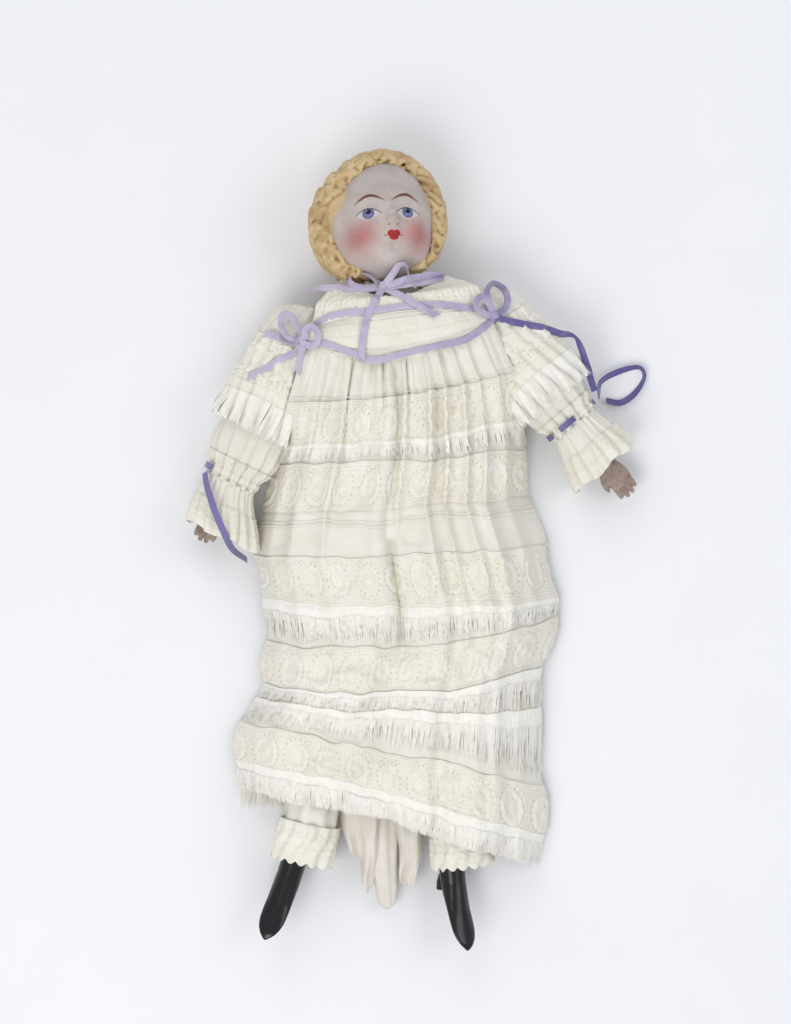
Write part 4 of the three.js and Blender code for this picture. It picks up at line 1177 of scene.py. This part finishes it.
def lock_path(angle, out, end, phase, reach=1.0):
    """Places from the hairline over the side of the head to its back, in the head's frame, sweeping down in waves."""
    t = np.linspace(0, 1, 70)
    turn = math.radians(angle)
    share = (out * math.sin(turn) / 26.6) ** 2 + (out * math.cos(turn) / 31.5) ** 2
    forward = 30.5 * math.sqrt(max(0.03, 1 - share)) - 1.0
    route = np.array([(out - 1.5, forward + 0.4), (out + 2.5, forward + 1.6),
                      ((out + end) / 2 + 1.5, forward * 0.75 + 1.5), (end - 3.2, forward * 0.3), (end - 4.2, -8),
                      (end - 8, -18), (end - 17, -26), (9, -31)])
    line = curve(np.column_stack([route, np.zeros(len(route))]), 1.0)
    mark = np.linspace(0, reach, 70) * (len(line) - 1)
    r = np.interp(mark, np.arange(len(line)), line[:, 0])
    z = np.interp(mark, np.arange(len(line)), line[:, 1])
    sweep = np.radians(24 * math.sin(turn)) * smooth(0, 0.45, t * reach)
    wave = 2.1 * np.sin(math.tau * t * 5.0 * reach + phase) * smooth(0, 0.08, t)
    heading = turn + sweep + wave / np.maximum(r, 12)
    return np.column_stack([r * np.sin(heading), r * np.cos(heading) + 1.5, z])


def laid_lock(model, path, wide, high):
    """A copy of the lock with its length laid along a path over the head."""
    copy = model.copy()
    copy.data = model.data.copy()
    bpy.context.scene.collection.objects.link(copy)
    rows = np.empty(len(copy.data.vertices) * 3)
    copy.data.vertices.foreach_get("co", rows)
    rows = rows.reshape(-1, 3) / MM
    mark = np.clip(-rows[:, 1], 0, 1) * (len(path) - 1)
    knots = np.arange(len(path))
    middle = np.column_stack([np.interp(mark, knots, path[:, k]) for k in range(3)])
    run = unit(np.gradient(path, axis=0))
    out = unit(path - np.array((-1.0, 3.0, -4.0)))
    side = unit(np.cross(run, out))
    up = np.cross(side, run)
    side, up = (np.column_stack([np.interp(mark, knots, v[:, k]) for k in range(3)]) for v in (side, up))
    rows = middle + side * rows[:, :1] * wide + up * rows[:, 2:] * high
    copy.data.vertices.foreach_set("co", (rows * MM).ravel())
    copy.data.update()
    return copy


def hair(material):
    """Long locks, short curls over their roots and the roll that the roots rise from, grown into one with a cap."""
    model = lock()
    locks = []
    turns, roots = [row[0] for row in HAIRLINE], [row[1] for row in HAIRLINE]
    for number, (angle, out, end) in enumerate(HAIRLINE):
        path = lock_path(angle, out, end, 0.9 * math.sin(number * 1.7))
        locks.append(laid_lock(model, path, 4.1, 4.4))
    for number in range(36):
        angle = 228 + number * 6.7
        out = np.interp(angle, turns, roots, period=360)
        path = lock_path(angle, out - 0.8, out + 8, 2.2 + 1.7 * number, 0.27)
        locks.append(laid_lock(model, path, 2.7, 2.6))
    rim = [lock_path(angle, np.interp(angle, turns, roots, period=360) + 2.2, 34, 0)[0]
           for angle in range(206, 508, 4)]
    locks.append(laid_lock(model, np.array(rim) - (0, 0, 1.0), 3.6, 3.4))
    bpy.data.objects.remove(model)
    clear_selection()
    bpy.ops.mesh.primitive_ico_sphere_add(subdivisions=5, radius=1)
    cap = bpy.context.object
    bpy.ops.object.mode_set(mode="EDIT")
    bpy.ops.transform.resize(value=(34.5 * MM, 31 * MM, 28 * MM), center_override=(0, 0, 0))
    bpy.ops.transform.translate(value=(-2.4 * MM, 2.6 * MM, -7.5 * MM))
    bpy.ops.object.mode_set(mode="OBJECT")
    made = fused([cap] + locks, "moulded_hair", 0.6, 7)
    placed(made, HEAD)
    return dressed(made, material)


# ---- hands and boots ----
FOREARM = [(0, 6.2, 6.2), (-2.5, 6.6, 6.6), (-3.6, 5.4, 5.4), (-7, 5.4, 5.4), (-8.2, 6.4, 6.4), (-22, 6.6, 6.2),
           (-36, 4.9, 4.5),
           (-42, 4.6, 3.8), (-46, 5.6, 3.7), (-50, 6.7, 3.6), (-54, 6.8, 3.4), (-56.5, 6.2, 3.0), (-58.5, 4.6, 2.2)]


def hand(name, arm, material):
    out = arm["side"]
    parts = [drawn("palm", [(y, w, d, 0, 0, 0) for y, w, d in FOREARM], 32)]
    for number, (x, length, size) in enumerate([(-4.9, 8.6, 1.55), (-1.7, 10.2, 1.65), (1.6, 10, 1.6),
                (4.7, 8, 1.45)]):
        curl = -0.8 - 0.5 * (number % 2)
        rings = [(-53, size, size, x * 0.9, 0.2, 0), (-56, size * 1.02, size, x * 0.97, 0.1, 0),
                 (-55 - length * 0.45, size * 0.94, size * 0.94, x, -0.5, 0),
                 (-55 - length * 0.75, size * 0.92, size * 0.9, x, -1.4, 0),
                 (-55 - length * 0.95, size * 0.7, size * 0.7, x, curl - 1.6, 0),
                 (-55 - length, size * 0.3, size * 0.3, x, curl - 2.0, 0)]
        parts.append(drawn("finger", rings, 16))
    thumb = [(-42, 1.6, 1.8, -out * 3.2, 0.6, 0), (-46, 1.9, 1.9, -out * 5.4, 0.9, 0),
             (-50, 1.75, 1.7, -out * 7.4, 0.6, 0),
             (-53.5, 1.5, 1.4, -out * 8.2, 0.0, 0), (-55.6, 0.9, 0.8, -out * 8.3, -0.4, 0),
             (-56.4, 0.3, 0.3, -out * 8.3, -0.5, 0)]
    parts.append(drawn("thumb", thumb, 16))
    made = fused(parts, f"bisque_hand_{name}", 0.36, 4)
    placed(made, turned(arm["seam"], arm["yaw"]) @ turned((0, -57.6, 0), 0, 4))
    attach(made, f"{name}_arm")
    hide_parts(f"forearm_{name}")
    return dressed(made, material)


BOOT = [(0, 8, 8, 0, 0, 0), (-2.6, 8.4, 8.4, 0, 0, 0), (-3.8, 7, 7, 0, 0, 0), (-7.6, 7, 7, 0, 0, 0),
        (-8.8, 8.4, 8.4, 0, 0, 0),
        (-28, 9.6, 9.2, 0, 0, 0), (-38, 8.9, 8.6, 0, 0, 0), (-47, 7.6, 7.4, 0, 0, 0), (-56, 6.9, 7.0, 0, 0.2, 4),
        (-63.5, 6.8, 7.5, 0, 1.0, 14), (-71, 7.0, 7.3, 0, 3.0, 24), (-77.5, 7.0, 6.2, 0, 5.4, 29),
        (-84, 7.2, 5.2, 0, 8.3, 32),
        (-89, 7.0, 4.6, 0, 10.4, 32), (-92.4, 6.2, 4.0, 0, 11.7, 32), (-94.8, 4.7, 3.1, 0, 12.6, 32),
        (-96.1, 2.6, 1.8, 0, 13.1, 32),
        (-96.5, 1.0, 0.8, 0, 13.2, 32)]


def boot(name, leg, material):
    shin = drawn("shin", BOOT, 36)
    heel = drawn("heel", [(-58, 4.5, 3.4, 0, -2.5, 52), (-61.8, 4.8, 3.3, 0, -5.0, 54),
                (-65.5, 4.4, 3.0, 0, -7.4, 55),
                          (-68.7, 3.9, 2.8, 0, -8.4, 56), (-70.3, 3.8, 2.8, 0, -8.9, 56)], 24)
    worked(heel, "BEVEL", width=0.5 * MM, segments=3, limit_method="ANGLE")
    made = fused([shin, heel], f"china_boot_{name}", 0.45, 5)
    placed(made, turned(leg["seam"], leg["yaw"]) @ turned((0, -93.6, 0), leg["foot"], 4, leg["roll"]))
    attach(made, f"{name}_leg")
    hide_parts(f"lower_leg_{name}")
    return dressed(made, material)


def black_china():
    """Glossy black glaze, a little worn."""
    paint = Paint("black_china", Specular_IOR_Level=0.5)
    wear = paint.noise(paint.places(), 0.35, 5.0, 0.65)
    base = paint.mix(wear.above(0.58, 0.2), srgb(12, 12, 13), srgb(24, 23, 24))
    paint.set(Base_Color=base, Roughness=0.1 + wear * 0.22)
    paint.bump(wear, 0.1, 0.0004)
    return paint.material


# ---- underclothes and stuffed parts ----
def tube_place(matrix, stations, folds=0, depth=1.0, flat=1.0, seed=1, floor=None):
    """Round a limb by u and along it by v; each station is (y, radius)."""
    rows = np.array(stations, dtype=float)

    def place(u, v):
        angle = math.tau * u + math.pi
        y = rows[0, 0] + (rows[-1, 0] - rows[0, 0]) * v
        radius = np.interp(-y, -rows[:, 0], rows[:, 1])
        full = np.clip(radius / rows[:, 1].max(), 0, 1) ** 2
        radius = radius + full * (depth * np.cos(folds * angle + 2 * np.sin(4 * v + seed)) * (folds > 0)
                                  + 0.6 * ripple(angle * 14, y, 60 + seed, 13, 6))
        x, z = radius * np.sin(angle), radius * np.cos(angle) * flat
        x, y, z = carried(matrix, x, y, z)
        return x, y, (z if floor is None else np.maximum(z, floor))

    return place


def stuffed(name, matrix, stations, material, flat=1.0, seed=1):
    """A sewn and stuffed part: closed, rounded at its ends, with a seam down each side."""
    cloth = Cloth(tube_place(matrix, stations, 0, 0, flat, seed), 72, 70, closed=True)

    def seam(u, v):
        across = u / max(1e-6, u.max())
        return -0.5 * bell((across - 0.25) / 0.012) - 0.5 * bell((across - 0.75) / 0.012)

    made = panel(name, cloth, material, (0, 1, 0, 1), 1.3, 0.0, 0.0, seam)
    return closed_ends(made)


def closed_ends(made):
    clear_selection()
    made.select_set(True)
    bpy.context.view_layer.objects.active = made
    bpy.ops.object.mode_set(mode="EDIT")
    bpy.ops.mesh.select_all(action="SELECT")
    bpy.ops.mesh.fill_holes(sides=0)
    bpy.ops.mesh.normals_make_consistent(inside=False)
    bpy.ops.object.mode_set(mode="OBJECT")
    return made


def drawers_leg(name, leg, materials):
    matrix = turned(leg["seam"], leg["yaw"])
    seed = 3 if name == "left" else 4
    stations = [(-6, 13.6), (-50, 14.0), (-100, 14.3), (-134, 14.1)]
    cloth = Cloth(tube_place(matrix, stations, 9, 0.8, 0.97, seed, 3.0), 120, 90, closed=True)
    made = panel(f"drawers_cloth_{name}", cloth, materials["muslin"], (0, 1, 0, 1), 1.3, 0.0, 0.35)

    def scalloped(u, v):
        x, y, z = tube_place(matrix, [(-128, 15.7), (-148, 16.4)], 12, 0.8, 0.97, seed, 3.0)(u, v)
        reach = 2.4 * np.abs(np.sin(math.pi * 17 * u)) * smooth(0.7, 1.0, v)
        m = np.array(matrix)
        return x - m[0, 1] * reach, y - m[1, 1] * reach, z

    frill = Cloth(scalloped, 150, 40, closed=True)
    lace = panel(f"drawers_frill_{name}", frill, materials["narrow lace"], (0, 1, 0, 1), 0.7, 0.0, 0.35,
                 medallions(6.5, 21, 0.35))
    for part in (made, lace):
        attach(part, f"{name}_leg")
    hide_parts(f"drawers_leg_{name}")
    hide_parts(f"drawers_lace_{name}")


def stuffed_parts(materials):
    """The body of calico stuffed with sawdust, and the arms and legs down to where the china is tied in."""
    trunk = Matrix.Translation((0, 0, 25))
    shape = [(106.5, 6), (105.5, 14), (103, 22), (98, 28.5), (86, 31.8), (60, 30.6), (20, 31), (0, 32.4), (-14, 32.2),
             (-20, 29.5), (-23, 24), (-24, 16), (-24.4, 6)]
    part = stuffed("stuffed_torso", trunk, shape, materials["calico"], 0.53, 1)
    made = [("torso", part, ["torso_cover", "torso_stuffing"])]
    shape = [(1.6, 2), (1.0, 5), (-0.6, 7.6), (-4, 9.2), (-20, 9.2), (-36, 8.2), (-50, 7.2), (-54.5, 6.4), (-56, 4.6),
             (-56.4, 2)]
    for name, arm in ARMS.items():
        part = stuffed(f"stuffed_arm_{name}", turned(arm["seam"], arm["yaw"]), shape, materials["calico"], 0.97, 2)
        made.append((f"{name}_arm", part, [f"upper_arm_{name}"]))
    shape = [(3.6, 2), (2.6, 6), (0, 9.6), (-5, 11.6), (-40, 11.4), (-76, 9.6), (-88, 8.6), (-91, 7), (-92.2, 4.6),
             (-92.6, 2)]
    for name, leg in LEGS.items():
        part = stuffed(f"stuffed_leg_{name}", turned(leg["seam"], leg["yaw"]), shape, materials["calico"], 0.97, 3)
        made.append((f"{name}_leg", part, [f"thigh_{name}"]))
    for body, part, nodes in made:
        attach(part, body)
        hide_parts(*nodes)


def drawers_waist(materials):
    matrix = Matrix.Translation((0, 0, 25))
    stations = [(20, 33.6), (16, 34.4), (-13.5, 35.6)]
    cloth = Cloth(tube_place(matrix, stations, 16, 0.4, 0.565, 6), 160, 40, closed=True)
    made = panel("drawers_top", cloth, materials["muslin"], (0, 1, 0, 1), 1.2, 0.0, 0.3)
    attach(made, "torso")
    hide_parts("drawers_waist")


def petticoat_back_place(u, v):
    x = 60 - 120 * u
    y = -18 - 131 * v
    return x, y, 2.6 + 0.3 * ripple(x, y, 91, 18, 6)


def petticoat_place(u, v):
    """Under the gown's lap; its lower edge hangs in two soft lobes between the legs."""
    x = -60 + 118 * u
    hem = -163 - 22 / (1 + ((x + 22) / 5.5) ** 6) - 36 / (1 + ((x - 7) / 6) ** 6) - 34 / (1 + ((x + 13) / 4) ** 6)
    hem = hem - 3 * np.cos(math.tau * 5 * u)
    hem = hem + 0.8 * np.cos(math.tau * x / 2.6)
    y = -18 + (hem + 18) * v
    side = np.abs(2 * u - 1)
    z = 7 + (31 - 12 * v) * (1 - side ** 5)
    low = smooth(0.84, 1.0, v)
    z = z + 1.0 * np.cos(math.tau * 9 * u + 2 * v) - low * (9 + 4 * bell((x - 8) / 8)) * (1 - side ** 5)
    z = np.maximum(z + low * 2.6 * np.cos(math.tau * (x - 3) / 9.5) * (np.abs(x + 4) < 34), 2.2)
    x = x + 1.2 * low * np.sin(y / 5)
    return x, y, z


def tail_place(u, v):
    """A rolled fold of the chemise that hangs between the legs and tapers to a point."""
    stations = np.array([  # y, half width, half depth, x, z
        (-160, 9.5, 8.4, -7.5, 15), (-176, 8.8, 8.0, -7.2, 14), (-190, 7.2, 6.8, -6.4, 11.5),
        (-203, 5.4, 5.0, -5.4, 8.5), (-211, 4.2, 3.6, -5.0, 6.6), (-213.5, 1.2, 1.0, -4.8, 6),
    ])
    angle = math.tau * u + math.pi
    y = -160 - 53.5 * v
    wide, deep, cx, cz = (np.interp(-y, -stations[:, 0], stations[:, k]) for k in (1, 2, 3, 4))
    fold = 1 + 0.10 * np.cos(3 * angle + 2.5 * v) + 0.06 * np.cos(7 * angle - 3 * v)
    return cx + wide * fold * np.sin(angle), y, cz + deep * fold * np.cos(angle)


def neck_frill_place(u, v):
    angle = math.tau * u
    radius = 15.6 + 3.6 * v + 0.9 * np.cos(19 * angle) * v
    x = -1.5 + radius * np.cos(angle) * 1.02
    z = 29 + radius * np.sin(angle) * 0.98
    y = 114.5 + 6.0 * np.sin(math.pi * (0.18 + 0.62 * v)) + 0.8 * np.sin(19 * angle) * v
    return x, y, z


def gown_back_place(u, v):
    """The back of the gown, flat on the floor; u runs from the doll's left so that its face is down."""
    front = np.array(list(GOWN_ROWS.values()), dtype=float)
    y = 101 - 255 * v
    middle = (front[:, 2] + front[:, 4]) / 2
    right = np.interp(-y, -middle, front[:, 0]) + 2
    left = np.interp(-y, -middle, front[:, 1]) - 2
    x = left + (right - left) * u
    fade = 1 - np.abs(2 * u - 1) ** 8
    z = 1.5 + fade * (0.5 * np.cos(math.tau * 14 * u + 2 * np.sin(3 * v)) + 0.35 * ripple(x, y, 77, 22, 6))
    return x, y - 5 * u * smooth(0.7, 1, v), np.maximum(z, 0.9)


def gown_side_place(side):
    """Under the armhole, from the front's edge to the back's; side is 0 on the doll's right and 1 on its left."""
    def place(u, v):
        near = u if side else 1 - u
        front_x, front_y, front_z = gown_place(np.full_like(near, side), 0.1 + 0.3 * v)
        x, y, z = gown_back_place(np.full_like(near, 1 - side), (101 - front_y) / 255)
        swell = (1.5 if side else -1.5) * np.sin(math.pi * near)
        x, y, z = front_x + (x - front_x) * near, front_y + (y - front_y) * near, front_z + (z - front_z) * near
        return x + swell, y, z

    return place


def yoke_back_place(u, v):
    x = (18 + 15 * v) * (1 - 2 * u)
    y = 116 - 27 * v
    return x, y, 1.3 + 0.3 * ripple(x, y, 80, 9, 6)


# ---- make it all ----
studio()
floor_material = Paint("pale_paper", Roughness=0.95)
paper = floor_material.noise(floor_material.places(), 0.02, 2.0)
floor_material.set(Base_Color=floor_material.mix(paper, srgb(239, 240, 243), srgb(243, 244, 246)))
clear_selection()
bpy.ops.mesh.primitive_plane_add(size=6, location=at(0, 0, -0.2))
floor = bpy.context.object
floor.name = "floor"
floor.data.materials.append(floor_material.material)

IVORY = (srgb(242, 239, 230), srgb(229, 224, 211))
materials = {
    "pale ribbon": satin("pale_satin", (190, 181, 203), (136, 128, 168)),
    "violet ribbon": satin("violet_satin", (120, 112, 162), (90, 82, 140)),
    "muslin": woven("gown_muslin", *IVORY),
    "calico": woven("body_calico", srgb(222, 214, 196), srgb(196, 184, 160), 0.5),
    "underlinen": woven("underlinen", srgb(240, 235, 227), srgb(222, 214, 202)),
    "lace": laced("insertion_lace"),
    "yoke lace": laced("yoke_lace", 9.5, 15),
    "narrow lace": laced("narrow_lace", 5.5, 9),
    "ruffle lace": laced("ruffle_lace", 16, 30),
    "fringe": threads(),
}
wrist_tails(materials)

gown = Cloth(gown_place, 260, 300)
gown_cloth = panel("gown_cloth", gown, materials["muslin"], (0, 1, 0, CLOTH_END), 1.03, 0.0, 0.4)
front = [gown_cloth] + gown_trims(gown, materials)
gown_back = Cloth(gown_back_place, 120, 160)
back_cloth = panel("gown_back_cloth", gown_back, materials["muslin"], (0, 1, 0, 0.945), 1.3, 0.0, 0.3)
back = [back_cloth]
for number, v in enumerate((0.14, 0.3, 0.47, 0.64, 0.83), 1):
    back.append(panel(f"gown_back_lace_{number}", gown_back, materials["lace"], (0, 1, v, v + 0.1), 0.8, 0.3, 0.0,
                      medallions(21, 26, 0.3)))
for side, name in enumerate(("right", "left")):
    back.append(panel(f"gown_side_{name}", Cloth(gown_side_place(side), 24, 60), materials["muslin"], thick=0.3))
back.append(fringe("gown_back_fringe", gown_back, 0.94, 0.062, materials["fringe"], (0, 1), 0.36, 0.1, 2, 9))
for part in front + back:
    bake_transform(part)
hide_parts("bodice_front", "skirt_front")
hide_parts("hem_fringe_front")
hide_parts("bodice_back", "skirt_back")
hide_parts("hem_fringe_back")

yoke_cloth, yoke_parts = yoke(materials)
yoke_back = panel("yoke_back_cloth", Cloth(yoke_back_place, 40, 30), materials["muslin"], thick=0.3)
frill_cloth = Cloth(neck_frill_place, 220, 24, closed=True)
neck_frill = panel("neck_frill_lace", frill_cloth, materials["narrow lace"], (0, 1, 0, 1), 0.6, 0.0, 0.3,
                   medallions(5.5, 9, 0.25))
for part in yoke_parts + [yoke_back, neck_frill]:
    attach(part, "torso")
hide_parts("yoke_front")
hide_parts("yoke_back")
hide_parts("neck_frill")

over_arms = []
for name, arm in ARMS.items():
    over_arms += sleeve(name, arm, materials)
    wrist_ribbon(name, arm, materials)
bows([gown, yoke_cloth] + over_arms, materials)

skin = bisque()
head = [face(skin), neck_and_plate(skin), hair(golden_hair())]
for part in head:
    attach(part, "torso")
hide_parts("shoulder_head")
soiled, china = plain_bisque(), black_china()
for name, arm in ARMS.items():
    hand(name, arm, soiled)
for name, leg in LEGS.items():
    boot(name, leg, china)
    drawers_leg(name, leg, materials)

stuffed_parts(materials)
drawers_waist(materials)
petticoat = panel("petticoat_cloth", Cloth(petticoat_place, 120, 160), materials["underlinen"], step=1.2)
petticoat_back = panel("petticoat_back_cloth", Cloth(petticoat_back_place, 60, 60), materials["underlinen"], step=1.6)
tail = panel("chemise_fold", Cloth(tail_place, 60, 60, closed=True), materials["underlinen"], step=1.0)
for part, node in ((petticoat, "petticoat_front"), (petticoat_back, "petticoat_back"), (tail, "chemise_tail")):
    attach(part, "lap")
    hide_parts(node)
thread = woven("waxed_thread", srgb(214, 204, 182), srgb(180, 166, 140), 0.6)
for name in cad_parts:
    if "stitch" in name or "binding" in name:
        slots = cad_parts[name].data.materials
        slots.clear()
        slots.append(thread)
